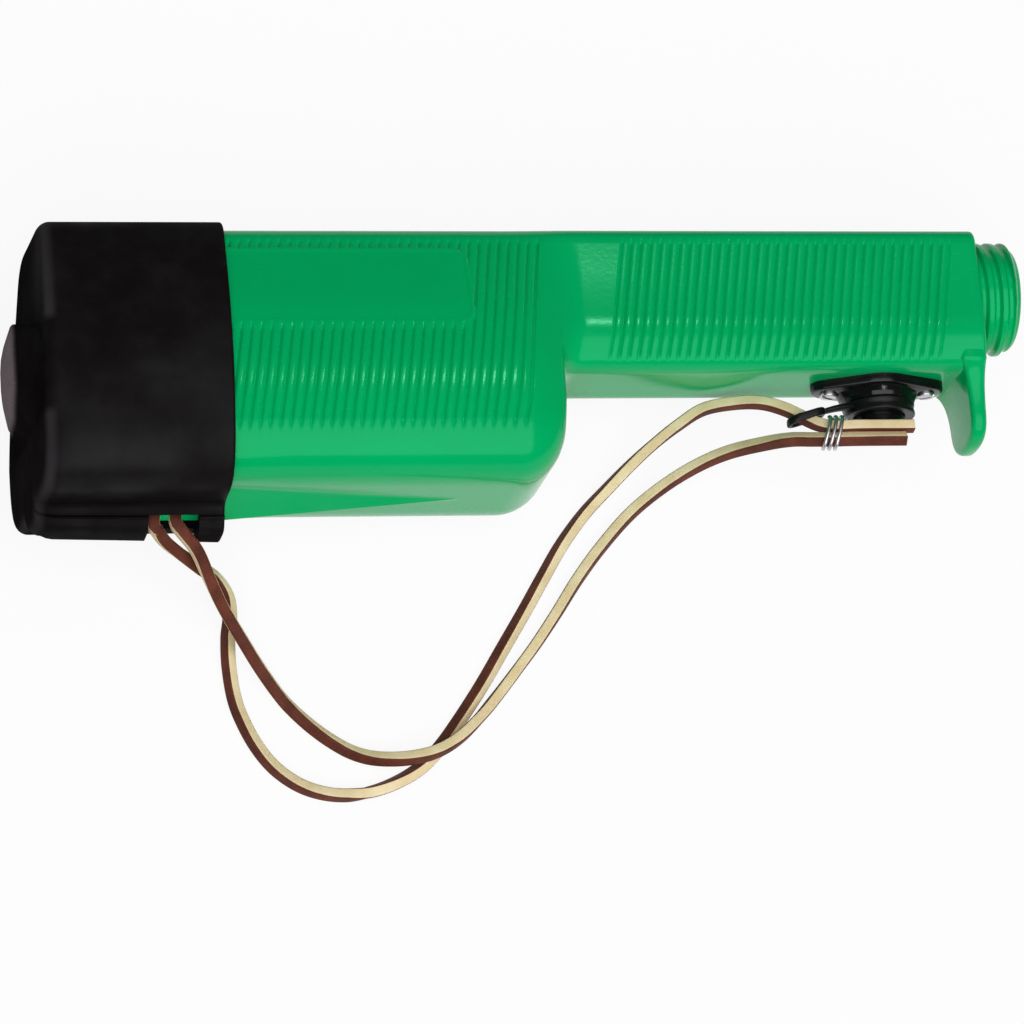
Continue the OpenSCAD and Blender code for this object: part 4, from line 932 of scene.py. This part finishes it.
def guard_shell():
    """Half of the finger guard: an outline with a flared root and a squarish tip, and a rounded edge."""
    t = np.linspace(0.0, 1.0, GUARD_STEPS)
    straight = GUARD_TIP_Y + GUARD_CORNER
    down = np.minimum(t / GUARD_STRAIGHT, 1.0)
    bend = np.clip((t - GUARD_STRAIGHT) / (1.0 - GUARD_STRAIGHT), 0.0, 1.0) * math.pi / 2
    y = GUARD_ROOT_Y + (straight - GUARD_ROOT_Y) * down - GUARD_CORNER * np.sin(bend) ** GUARD_SQUARE
    flare = np.exp(-np.maximum(GRIP_FOOT_Y + GUARD_FLARE_LEAD - y, 0.0) / GUARD_FADE)
    half = (GUARD_HALF + GUARD_FLARE * flare) * np.maximum(np.cos(bend), 0.0) ** GUARD_SQUARE
    edge = np.stack([half, y], axis=1)
    tangent = np.gradient(edge, axis=0)
    tangent /= np.linalg.norm(tangent, axis=1, keepdims=True)
    inward = np.stack([tangent[:, 1], -tangent[:, 0]], axis=1)
    inward[-1] = (0.0, 1.0)
    turn = np.linspace(0.0, math.pi, GUARD_EDGE_STEPS)
    reach = GUARD_EDGE * (1 - np.sin(turn))
    across = -np.cos(turn) * GUARD_EDGE
    rear = GUARD_REAR_X - GUARD_FILLET * flare
    middle = np.where(turn[None, :] < math.pi / 2, rear[:, None] + GUARD_EDGE, GUARD_FRONT_X - GUARD_EDGE)
    middle[:, GUARD_EDGE_STEPS // 2] = (rear + GUARD_FRONT_X) / 2
    place = edge[:, None] + inward[:, None] * reach[None, :, None]
    rim = np.stack([middle + across[None, :], place[..., 1], np.maximum(place[..., 0], 0.0)], axis=-1)
    spine_y = y + 2 * GUARD_EDGE * smooth(t, GUARD_SPINE_FROM, 1.0)
    spines = [np.stack([np.broadcast_to(x, GUARD_STEPS), spine_y, np.zeros(GUARD_STEPS)], axis=1)[:, None]
              for x in (rear, GUARD_FRONT_X)]
    grid = np.concatenate([spines[0], rim, spines[1]], axis=1)
    columns = grid.shape[1]
    tip = list(range((GUARD_STEPS - 1) * columns + 1, GUARD_STEPS * columns))
    rear_loop = [k * columns for k in range(GUARD_STEPS)]
    front_loop = [k * columns + columns - 1 for k in range(GUARD_STEPS - 2, -1, -1)]
    return grid, grid_faces(GUARD_STEPS, columns) + [rear_loop + tip + front_loop, list(range(columns))]


def case_half(node, name, side):
    """One moulded half with its half of the guard, mirrored for the left side."""
    mirror = np.array([1.0, 1.0, side])
    shells = [(points * mirror, faces) for points, faces in (case_shell(), guard_shell())]
    make_piece(name, shells, "case_green", "case", [node], sharp=50.0)


case_half("case_right", "right_moulding", 1.0)
case_half("case_left", "left_moulding", -1.0)

# Threaded front
THREAD_PITCH = 4.0
THREAD_DEPTH = 1.4
THREAD_STEPS = 70
THREAD_SIDES = 160
THREAD_GAP = 0.05
THREAD_LEAD = 0.9
THREAD_PHASE = 2.2
THREAD_START = (-0.6, 1.0)
THREAD_RUNOUT = 2.2
CREST_RADIUS = 16.15
CREST_EDGE = (0.08, 0.80)
ROOT_RADIUS = CREST_RADIUS - THREAD_DEPTH
END_CHAMFER = 0.8
SOCKET_RADIUS = 12.5
SOCKET_EASE = 0.1
SOCKET_CHAMFER = 0.7
COUPLING_SOFT = 0.4
PLUG_BORE = 8.6
NECK_FLANGE_X = 271.9
NECK_FLANGE_RADIUS = 13.2
NECK_BORE_RADIUS = 11.5
NECK_STEP_X = GRIP_FRONT_X - 0.5
NECK_EASE = 0.1


def wand_coupling():
    """A turned profile whose outside carries a helix: radius rises with the cosine of x and angle."""
    lead_x = THREAD_END_X - THREAD_LEAD
    thread_x = np.linspace(GRIP_FRONT_X + THREAD_GAP, lead_x, THREAD_STEPS)
    before = [(COUPLING_REAR_X, PLUG_BORE), (COUPLING_REAR_X, NECK_FLANGE_RADIUS),
              (NECK_FLANGE_X, NECK_FLANGE_RADIUS), (NECK_FLANGE_X, NECK_BORE_RADIUS),
              (NECK_STEP_X, NECK_BORE_RADIUS), (NECK_STEP_X, ROOT_RADIUS - NECK_EASE)]
    after = soften([(lead_x, ROOT_RADIUS), (THREAD_END_X, ROOT_RADIUS - END_CHAMFER),
                    (THREAD_END_X, SOCKET_RADIUS + SOCKET_EASE),
                    (THREAD_END_X - SOCKET_CHAMFER, SOCKET_RADIUS), (SOCKET_FLOOR_X, SOCKET_RADIUS),
                    (SOCKET_FLOOR_X, PLUG_BORE)], COUPLING_SOFT)
    profile = np.vstack([before, np.stack([thread_x, np.full(THREAD_STEPS, ROOT_RADIUS)], axis=1), after])
    threaded = np.zeros((len(profile), 1))
    threaded[len(before):len(before) + THREAD_STEPS] = 1.0
    angle = round_angles(THREAD_SIDES)[None, :]
    x = profile[:, :1]
    wave = 0.5 + 0.5 * np.cos(2 * math.pi * (x - GRIP_FRONT_X - THREAD_PHASE) / THREAD_PITCH - angle)
    starts = smooth(x, GRIP_FRONT_X + THREAD_START[0], GRIP_FRONT_X + THREAD_START[1])
    ends = 1 - smooth(x, THREAD_END_X - THREAD_RUNOUT, lead_x)
    radius = profile[:, 1:] + threaded * THREAD_DEPTH * smooth(wave, *CREST_EDGE) * (starts * ends)
    along = np.broadcast_to(x, radius.shape)
    points = np.stack([along, radius * np.cos(angle), radius * np.sin(angle)], axis=-1)
    faces = grid_faces(len(profile), THREAD_SIDES, wrap_rows=True, wrap_columns=True)
    make_piece("wand_thread", [(points, faces)], "case_green", "case", ["wand_coupling"], sharp=50.0)


wand_coupling()

# Switch: flange with ears and hub, its screws, rubber collar with its keeper, and button
FLANGE_TOP_Y = -25.8
FLANGE_RADIUS = 11.0
FLANGE_SIDES = 192
FLANGE_EDGE = ((1.0, 0.0), (1.0, 1.5), (0.992, 1.8), (0.97, 2.02), (0.94, 2.1))
EAR_FOOT_Y = -27.9
EAR_RADIUS = 5.0
EAR_SLOPE = 0.6
EAR_SHARES = (0.3, 0.6, 0.8, 0.9, 0.96, 1.0)
SCREW_OFFSET = 14.2
HUB_RADIUS = 10.7
HUB_FOOT_RADIUS = 10.3
HUB_FOOT_Y = -31.5
HUB_FILLET = 1.8
HUB_FILLET_FROM = 0.75
HUB_STEP_IN = 0.05
HUB_STEP_DOWN = 0.1
HUB_SOFT = 0.5
BUTTON_GUIDE = 7.25
BUTTON_GUIDE_LIP = 0.2
BUTTON_ROOM = 8.4


def flange_outline(steps):
    """Hull of the disc and two ears, by its support: each normal angle takes the point furthest that way."""
    out = directions(round_angles(steps))
    ear = SCREW_OFFSET * np.abs(out[:, :1]) + EAR_RADIUS > FLANGE_RADIUS
    centre = np.stack([SCREW_OFFSET * np.sign(out[:, 0]), np.zeros(steps)], axis=1)
    return np.where(ear, centre + EAR_RADIUS * out, FLANGE_RADIUS * out)


def switch_flange():
    """Rings down the flange's edge, in under its sloping ears, down the hub and up its stepped bore."""
    wide = flange_outline(FLANGE_SIDES)
    around = directions(np.arctan2(wide[:, 1], wide[:, 0]))
    narrow = FLANGE_EDGE[-1][0]
    lip_y = HUB_FOOT_Y + BUTTON_GUIDE_LIP
    hub = soften([(HUB_RADIUS - HUB_STEP_IN, EAR_FOOT_Y - EAR_SLOPE - HUB_FILLET - HUB_STEP_DOWN),
                  (HUB_FOOT_RADIUS, HUB_FOOT_Y), (BUTTON_GUIDE, HUB_FOOT_Y), (BUTTON_GUIDE, lip_y),
                  (BUTTON_ROOM, lip_y), (BUTTON_ROOM, FLANGE_TOP_Y)], HUB_SOFT)
    rings = [(wide * share, FLANGE_TOP_Y - drop) for share, drop in FLANGE_EDGE]
    for near in EAR_SHARES:
        fillet = HUB_FILLET * smooth(near, HUB_FILLET_FROM, 1.0) ** 2
        flat = wide * narrow * (1 - near) + around * HUB_RADIUS * near
        rings.append((flat, EAR_FOOT_Y - EAR_SLOPE * near - fillet))
    rings += [(around * radius, y) for radius, y in hub]
    grid = np.stack([np.stack([SWITCH_X + flat[:, 0], np.full(FLANGE_SIDES, y), flat[:, 1]], axis=1)
                     for flat, y in rings])
    faces = grid_faces(len(grid), FLANGE_SIDES, wrap_rows=True, wrap_columns=True)
    make_piece("flange_moulding", [(grid, faces)], "switch_black", "case", ["switch_flange"], sharp=35.0)


switch_flange()

SCREW_HEAD_RADIUS = 2.55
SCREW_HEAD_RISE = 1.5
SCREW_SIDES = 96
DOME_STEPS = 26
DOME_START = 0.01
DOME_POWER = 0.5
DOME_SHARE = 0.6
RIM_RADII = [1.0, 0.98]
RIM_RISES = [0.1, 0.0]
SHANK_RADIUS = 1.4
SHANK_SIDES = 32
SHANK_LAP = 0.1
SHANK_POINT = 0.5
SHANK_TOP_Y = -20.0
SLOT_HALF = 0.42
SLOT_EDGE = 0.1
SLOT_DEPTH = 0.6
SLOT_TURN = math.radians(35.0)


def flange_screws():
    """Two pan heads: a dome turned about each screw's axis with a straight slot, and a plain shank."""
    quarter = math.pi / 2
    dome = np.cos(np.linspace(0.0, quarter, DOME_STEPS)) ** DOME_POWER * DOME_SHARE + (1.0 - DOME_SHARE)
    spread = np.sin(np.linspace(DOME_START, quarter, DOME_STEPS))
    radius = SCREW_HEAD_RADIUS * np.concatenate([spread, RIM_RADII])[:, None]
    rise = SCREW_HEAD_RISE * np.concatenate([dome, RIM_RISES])[:, None]
    on_dome = (np.arange(len(rise)) < DOME_STEPS)[:, None]
    angle = round_angles(SCREW_SIDES)
    shells = []
    for side in (-1.0, 1.0):
        centre_x = SWITCH_X + side * SCREW_OFFSET
        across = np.abs(radius * np.sin(angle - SLOT_TURN * side))
        slot = SLOT_DEPTH * (1 - smooth(across, SLOT_HALF - SLOT_EDGE, SLOT_HALF + SLOT_EDGE))
        x = centre_x + radius * np.cos(angle)
        head = np.stack([x, EAR_FOOT_Y - (rise - slot * on_dome), radius * np.sin(angle)], axis=-1)
        shank = turned_y([(SHANK_RADIUS, EAR_FOOT_Y + SHANK_LAP), (SHANK_RADIUS, SHANK_TOP_Y),
                          (SHANK_RADIUS - SHANK_POINT, SHANK_TOP_Y + SHANK_POINT)], SHANK_SIDES, centre_x)
        shells += [(head, capped(head)), (shank, capped(shank))]
    make_piece("screw_heads", shells, "steel", "case", ["flange_screws"], sharp=40.0)


flange_screws()

COLLAR_OUTER = 10.25
COLLAR_TOP_Y = -31.55
COLLAR_FOOT_Y = -35.2
COLLAR_FOOT_BAND = 0.9
COLLAR_TOP_BAND = 0.7
COLLAR_WAIST = 9.9
COLLAR_BORE = 7.3
COLLAR_SEAM = 0.1
COLLAR_SOFT = 0.55
COLLAR_SIDES = 96
KEEPER_X = SWITCH_X - 22.6
KEEPER_Y = -36.5
KEEPER_Z = 5.0
KEEPER_HALF = 5.6
KEEPER_WIDTH = 6.6
KEEPER_SLOT = 4.0
KEEPER_THICK = 2.4
KEEPER_TILT = 0.3
KEEPER_STEPS = 72
KEEPER_SIDES = 14
KEEPER_SQUARE = 0.7
ARM_LAP = 0.5
ARM_ROUTE = [(SWITCH_X - 8.6, -33.0, 3.6), (SWITCH_X - 11.0, -33.3, 4.4), (SWITCH_X - 14.0, -33.9, 4.9),
             (KEEPER_X + KEEPER_HALF - ARM_LAP, KEEPER_Y + KEEPER_TILT * KEEPER_HALF, KEEPER_Z)]
ARM_HALF = np.array([1.5, 1.0])
ARM_TAPER = (1.15, 0.8)
ARM_STEP = 0.5
ARM_SIDES = 16


def keeper_loop():
    """A flat band run about an oblong, tilted so that its rear end hangs lower than its front end."""
    out = directions(round_angles(KEEPER_STEPS))
    middle = (KEEPER_WIDTH + KEEPER_SLOT) / 4 * out
    middle[:, 0] += np.sign(out[:, 0]) * (KEEPER_HALF - KEEPER_WIDTH / 2)
    band = directions(round_angles(KEEPER_SIDES))
    band = np.sign(band) * np.abs(band) ** KEEPER_SQUARE
    band *= np.array([(KEEPER_WIDTH - KEEPER_SLOT) / 4, KEEPER_THICK / 2])
    flat = middle[:, None] + out[:, None] * band[None, :, :1]
    y = KEEPER_Y + band[None, :, 1] + KEEPER_TILT * flat[..., 0]
    grid = np.stack([KEEPER_X + flat[..., 0], y, KEEPER_Z + flat[..., 1]], axis=-1)
    return grid, grid_faces(KEEPER_STEPS, KEEPER_SIDES, wrap_rows=True, wrap_columns=True)


def switch_collar():
    """A rubber ring with a slight waist, an arm that tapers down to the keeper, and the keeper's loop."""
    waist_y = (COLLAR_TOP_Y + COLLAR_FOOT_Y) / 2
    ring = soften([(COLLAR_BORE, waist_y), (COLLAR_BORE, COLLAR_FOOT_Y), (COLLAR_OUTER, COLLAR_FOOT_Y),
                   (COLLAR_OUTER, COLLAR_FOOT_Y + COLLAR_FOOT_BAND), (COLLAR_WAIST, waist_y),
                   (COLLAR_OUTER, COLLAR_TOP_Y - COLLAR_TOP_BAND), (COLLAR_OUTER, COLLAR_TOP_Y),
                   (COLLAR_BORE, COLLAR_TOP_Y), (COLLAR_BORE, waist_y + COLLAR_SEAM)], COLLAR_SOFT)
    grid = turned_y(ring, COLLAR_SIDES)
    ring_faces = grid_faces(len(ring), COLLAR_SIDES, wrap_rows=True, wrap_columns=True)
    path = spline(ARM_ROUTE, ARM_STEP)
    arm = sweep(path, directions(round_angles(ARM_SIDES)) * ARM_HALF, 0.0, up=(0.0, 1.0, 0.0))
    taper = np.linspace(*ARM_TAPER, len(path))[:, None, None]
    arm = path[:, None] + (arm - path[:, None]) * taper
    shells = [(grid, ring_faces), keeper_loop(), (arm, capped(arm))]
    make_piece("collar_rubber", shells, "switch_rubber", "case", ["switch_collar"], sharp=60.0)


switch_collar()

BUTTON_RADIUS = 7.0
BUTTON_END_Y = -39.4
BUTTON_SEAT_Y = -31.35
BUTTON_DISH = 0.7
BUTTON_DISH_RADIUS = BUTTON_RADIUS - 1.4
BUTTON_DISH_STEPS = 9
BUTTON_RIM_RADIUS = BUTTON_RADIUS + 0.9
BUTTON_RIM_TOP_Y = BUTTON_SEAT_Y + 1.5
BUTTON_SOFT = 0.9
BUTTON_SIDES = 80


def button():
    """A round plunger with a rolled edge and a dish whose depth falls with the radius squared."""
    body = soften([(0.0, BUTTON_RIM_TOP_Y), (BUTTON_RIM_RADIUS, BUTTON_RIM_TOP_Y),
                   (BUTTON_RIM_RADIUS, BUTTON_SEAT_Y), (BUTTON_RADIUS, BUTTON_SEAT_Y),
                   (BUTTON_RADIUS, BUTTON_END_Y), (BUTTON_DISH_RADIUS, BUTTON_END_Y)], BUTTON_SOFT)
    radius = np.linspace(BUTTON_DISH_RADIUS, 0.0, BUTTON_DISH_STEPS)[1:]
    dish = BUTTON_END_Y + BUTTON_DISH * (1 - (radius / BUTTON_DISH_RADIUS) ** 2)
    profile = np.vstack([body, np.stack([radius, dish], axis=1)])
    faces = grid_faces(len(profile), BUTTON_SIDES, wrap_columns=True)
    shells = [(turned_y(profile, BUTTON_SIDES), faces)]
    make_piece("button_cap", shells, "switch_black", "trigger", ["button"], sharp=50.0)


button()

# Boot: one sheet from the nose over the flanks to the mouth and back inside, with a window for the strap
BOOT_PROUD = 3.1
BOOT_GAP = 0.3
BOOT_END_ROUND = 3.5
BOOT_FLANK_X = BOOT_END_X + BOOT_END_ROUND
BOOT_INNER_END_X = CASE_REAR_X - 0.3
BOOT_TOP_DROP = 0.8
BOOT_TOP_DROP_Y = 4.0
BOOT_SHEAR_END_X = 34.0
BOOT_LINES = (6, 14, 10, 10, 6, 6, 16, 6)
BOOT_ARCS = (10, 8, 8, 14, 4, 3, 4)
BOOT_KEEL_SOFT = 3.0
MOUTH_LEAN = math.radians(1.5)
MOUTH_PIVOT_Y = -24.05
MOUTH_LIP = 0.8
# Strap channel: its wall from a crease under the keel to its floor, with a bead along the top of the wall
WALL_RUN = 6
CREASE_COLUMN = sum(BOOT_LINES[:WALL_RUN]) + sum(BOOT_ARCS[:WALL_RUN])
CHANNEL_TOP = 4.2
CHANNEL_TOP_Y = -57.8
CHANNEL_TOP_SOFT = 0.5
CHANNEL_HALF = 3.2
CHANNEL_Y = -65.8
CHANNEL_SOFT = 0.8
CHANNEL_RISE = 1.5
CHANNEL_END_ROUND = 7.0
BEAD = 1.0
BEAD_DROP = 0.9
BEAD_WIDTH = 0.5
WINDOW_REAR_X = 38.4
WINDOW_FRONT_X = 52.8
WINDOW_MARGIN = 0.01
# Nose: rows of its rings are a share of its outline, x and a share of the lean
NOSE_HALF_Z = 11.7
NOSE_POWER = 8.0
NOSE_CHAMFER_DROP = 6.2
NOSE_FOOT_SHARE = 0.5
NOSE_BASE = 1.04
NOSE_WIDEN = 2.05
NOSE_TAPER_X = (2.6, 8.3)
NOSE_RINGS = (
    (0.02, 0.0, 0.0), (0.3, 0.15, 0.0), (0.6, 0.75, 0.0), (0.85, 1.6, 0.0), (0.95, 2.1, 0.05),
    (0.985, 2.6, 0.1), (1.0, 3.4, 0.25), (1.0, 5.5, 0.6), (1.005, 7.2, 0.9), (1.02, 7.95, 1.0),
    (NOSE_BASE, 8.3, 1.0))
# Steps of the boot's rings
END_FACE_SHARES = np.linspace(0.12, 1.0, 8)
END_ROUND_ANGLES = np.linspace(0.0, math.pi / 2, 12)[1:-1]
LIP_ANGLES = np.linspace(0.0, math.pi, 9)[1:-1]
INNER_END_SHARES = (0.97, 0.9, 0.6, 0.02)
FLANK_SPANS = ((BOOT_FLANK_X, WINDOW_REAR_X, 18), (WINDOW_REAR_X, WINDOW_FRONT_X, 11),
               (WINDOW_FRONT_X, BOOT_MOUTH_X - MOUTH_LIP, 8))


def boot_sections(x, grow):
    """Rings round the boot at stations x: body corners, keel slope and a channel that deepens forwards.

    Its outside also has a thin bead along the top of the channel's wall.
    """
    outside = grow > BOOT_GAP
    crease_y = CHANNEL_TOP_Y if outside else BODY_FOOT_Y - KEEL_DEPTH * (1 - CHANNEL_TOP / KEEL_HALF)
    keel = [(KEEL_HALF, BODY_FOOT_Y, BOOT_KEEL_SOFT), (CHANNEL_TOP, crease_y, CHANNEL_TOP_SOFT),
            (CHANNEL_HALF, CHANNEL_Y, CHANNEL_SOFT), (0, CHANNEL_Y, 0)]
    corners = np.repeat(np.vstack([BODY_CORNERS[:FLANK_CORNERS + 1], keel])[None], len(x), axis=0)
    slope = CHANNEL_RISE * (1 - np.clip((x - BOOT_END_X) / (BOOT_MOUTH_X - BOOT_END_X), 0.0, 1.0))
    into_round = np.clip(BOOT_END_X + CHANNEL_END_ROUND - x, 0.0, CHANNEL_END_ROUND)
    lift = CHANNEL_END_ROUND - np.sqrt(CHANNEL_END_ROUND ** 2 - into_round ** 2)
    corners[:, -2:, 1] += (slope + lift)[:, None]
    half = outline(inset(corners, np.full(len(x), -grow)), BOOT_LINES, BOOT_ARCS)
    if outside:
        half[..., 1] -= BOOT_TOP_DROP * smooth(half[..., 1], BOOT_TOP_DROP_Y, TOP_Y + BOOT_PROUD)
        wall = slice(CREASE_COLUMN, CREASE_COLUMN + BOOT_LINES[WALL_RUN])
        drop = half[:, CREASE_COLUMN, None, 1] - half[:, wall, 1]
        half[:, wall, 0] += BEAD * np.exp(-((drop - BEAD_DROP) / BEAD_WIDTH) ** 2)
    return np.concatenate([half, half[:, -2:0:-1] * np.array([-1.0, 1.0])], axis=1)


def nose_outline(angle):
    """A squarish round with two chamfers at its foot, as points about the nose's middle at each angle."""
    out = directions(angle)
    spread = (np.abs(out[:, 0]) / NOSE_HALF_Z) ** NOSE_POWER + (np.abs(out[:, 1]) / NOSE_HALF_Y) ** NOSE_POWER
    round_off = out * (spread ** (-1 / NOSE_POWER))[:, None]
    below = np.clip((-round_off[:, 1] - NOSE_CHAMFER_DROP) / (NOSE_HALF_Y - NOSE_CHAMFER_DROP), 0.0, 1.0)
    round_off[:, 0] *= 1 - (1 - NOSE_FOOT_SHARE) * below
    return round_off


def boot_rings(nominal):
    """Rings in the order nose, end face, end round, flank, mouth lip, inner wall and inner end.

    Each ring is a section at its x, leaned forwards with height and with width. Gives the rings as a
    grid, the number of the first flank ring and the number of the first inner one.
    """
    outer = boot_sections(nominal, BOOT_PROUD)
    inner = boot_sections(nominal, BOOT_GAP)
    centre = np.array([0.0, NOSE_Y])
    arm = outer[0] - centre
    size = np.linalg.norm(arm, axis=1, keepdims=True)
    nose = nose_outline(np.arctan2(arm[:, 1], arm[:, 0]))
    rings = []

    def add(flat, x, sheared=1.0):
        z, y = flat[:, 0], flat[:, 1]
        lean = BOOT_SHEAR * (np.maximum(y, BOOT_SHEAR_FOOT_Y) - BOOT_SHEAR_Y) + BOOT_SKEW * z
        rings.append(np.stack([x + lean * sheared, y, z], axis=1))

    def nose_ring(share, taper):
        spread = np.array([1.0 + (NOSE_WIDEN - 1.0) * taper, 1.0])
        return centre + nose * share * spread - np.array([0.0, NOSE_SINK * taper])

    for share, x, sheared in NOSE_RINGS:
        add(nose_ring(share, np.interp(x, NOSE_TAPER_X, (0.0, 1.0))), x, sheared)
    edge = centre + arm * (1 - BOOT_END_ROUND / size)
    base = nose_ring(NOSE_BASE, 1.0)
    for share in END_FACE_SHARES:
        add(base + (edge - base) * share, BOOT_END_X)
    for a in END_ROUND_ANGLES:
        drawn_in = BOOT_END_ROUND * (1 - math.sin(a))
        add(centre + arm * (1 - drawn_in / size), BOOT_END_X + BOOT_END_ROUND * (1 - math.cos(a)))
    mouth_shift = math.tan(MOUTH_LEAN) * (outer[-1, :, 1] - MOUTH_PIVOT_Y)
    share = (nominal - BOOT_FLANK_X) / (nominal[-1] - BOOT_FLANK_X)
    fade = 1 - smooth(nominal, BOOT_FLANK_X, BOOT_SHEAR_END_X)
    flank_row = len(rings)
    for k, x in enumerate(nominal):
        add(outer[k], x + mouth_shift * share[k], fade[k])
    wall = inner[-1] - outer[-1]
    for a in LIP_ANGLES:
        lip_x = nominal[-1] + mouth_shift + MOUTH_LIP * math.sin(a)
        add(outer[-1] + wall * (0.5 - 0.5 * math.cos(a)), lip_x, 0.0)
    inner_row = len(rings)
    for k in range(len(nominal) - 1, -1, -1):
        add(inner[k], nominal[k] + mouth_shift * share[k], 0.0)
    for part in INNER_END_SHARES:
        add(centre + (inner[0] - centre) * part, BOOT_INNER_END_X, 0.0)
    return np.stack(rings), flank_row, inner_row


def bridge(outside, inside):
    """Faces between two rows of point numbers."""
    return np.stack([outside[:-1], outside[1:], inside[1:], inside[:-1]], axis=1)


def boot():
    """The rings as a grid with both poles closed, the window's faces left out and its cut edges bridged."""
    nominal = np.concatenate([np.linspace(*span)[min(k, 1):] for k, span in enumerate(FLANK_SPANS)])
    grid, flank_row, inner_row = boot_rings(nominal)
    rows, columns = grid.shape[:2]
    in_window = (nominal > WINDOW_REAR_X - WINDOW_MARGIN) & (nominal < WINDOW_FRONT_X + WINDOW_MARGIN)
    window = np.flatnonzero(in_window)
    outer_rows = flank_row + window
    inner_rows = inner_row + len(nominal) - 1 - window
    cut = np.arange(CREASE_COLUMN, columns - CREASE_COLUMN + 1)
    row, column = np.divmod(np.arange((rows - 1) * columns), columns)
    in_outer = (row >= outer_rows[0]) & (row < outer_rows[-1])
    in_inner = (row >= inner_rows[-1]) & (row < inner_rows[0])
    kept = ~((in_outer | in_inner) & (column >= cut[0]) & (column < cut[-1]))
    skin = np.array(grid_faces(rows, columns, wrap_columns=True))[kept]
    sides = [bridge(outer_rows * columns + j, inner_rows * columns + j) for j in cut[[0, -1]]]
    ends = [bridge(outer_rows[k] * columns + cut, inner_rows[k] * columns + cut) for k in (0, -1)]
    caps = [list(range(columns)), list(range((rows - 1) * columns, rows * columns))]
    faces = np.concatenate([skin] + sides + ends).tolist() + caps
    make_piece("boot_moulding", [(grid, faces)], "boot_rubber", "boot", ["boot"], sharp=55.0)


boot()

# Finishes of the solids that stay as they are
for part in frame["record"]["subparts"]:
    node = frame["nodes"][part["node"]]
    finish = FINISH[part["material_slot"]]
    if node.material_slots:
        for holder in node.material_slots:
            holder.material = finish
    else:
        node.data.materials.append(finish)

# Floor, light and world; rows of lamps are a name, a direction from the object, distance, size and power
FLOOR_SIZE = 3.0
FLOOR_PAINT = rgb(0.86, 0.86, 0.86)
CAMERA_WHITE = 0.90
WHITE = rgb(1.0, 1.0, 1.0)
WORLD_STRENGTH = 0.08
LAMPS = (("soft_key", (0.05, -0.46, 0.89), 1.6, 2.0, 33.0),
         ("glint", (0.19, 0.40, 0.90), 1.6, 0.12, 2.0))


def floor():
    """A wide white floor that is white to the camera and in reflections, with part of its shading kept."""
    mesh = bpy.data.meshes.new("floor")
    corners = np.array([(-1, -1), (1, -1), (1, 1), (-1, 1)]) * FLOOR_SIZE
    mesh.from_pydata([(x, y, 0.0) for x, y in corners.tolist()], [], [(0, 1, 2, 3)])
    plane = bpy.data.objects.new("floor", mesh)
    made = bpy.data.materials.new("floor_white")
    made.use_nodes = True
    tree = made.node_tree
    tree.nodes.remove(tree.nodes["Principled BSDF"])
    camera = Shade(tree).node("LightPath", out="Is Camera Ray")
    glossy = camera.output("Is Glossy Ray")
    through = camera.output("Is Transmission Ray")
    seen = camera.most(glossy).most(through) * CAMERA_WHITE
    paint = camera.node("BsdfDiffuse", None, {"Color": FLOOR_PAINT})
    glow = camera.node("Emission", None, {"Color": WHITE, "Strength": 1.0})
    both = camera.node("MixShader", None, {0: seen, 1: paint, 2: glow})
    tree.links.new(both.socket, tree.nodes["Material Output"].inputs["Surface"])
    mesh.materials.append(made)
    bpy.context.collection.objects.link(plane)


def lamp(name, direction, distance, size, power):
    """A square area lamp at a distance from the middle of the object, facing it."""
    data = bpy.data.lights.new(name, "AREA")
    data.size = size
    data.energy = power
    made = bpy.data.objects.new(name, data)
    back = np.asarray(direction, dtype=float)
    back /= np.linalg.norm(back)
    side = np.cross((0.0, 1.0, 0.0), back)
    side /= np.linalg.norm(side)
    made.matrix_world = facing(side, np.cross(back, side), back, back * distance)
    bpy.context.collection.objects.link(made)


def world():
    """An even white surround, seen by the camera as plain white."""
    made = bpy.data.worlds.new("surround")
    made.use_nodes = True
    bpy.context.scene.world = made
    tree = made.node_tree
    sky = tree.nodes["Background"]
    camera = Shade(tree).node("LightPath", out="Is Camera Ray")
    sky.inputs["Color"].default_value = WHITE
    tree.links.new((WORLD_STRENGTH + (1.0 - WORLD_STRENGTH) * camera).socket, sky.inputs["Strength"])


floor()
for row in LAMPS:
    lamp(*row)
world()
bpy.context.scene.view_settings.view_transform = "Standard"
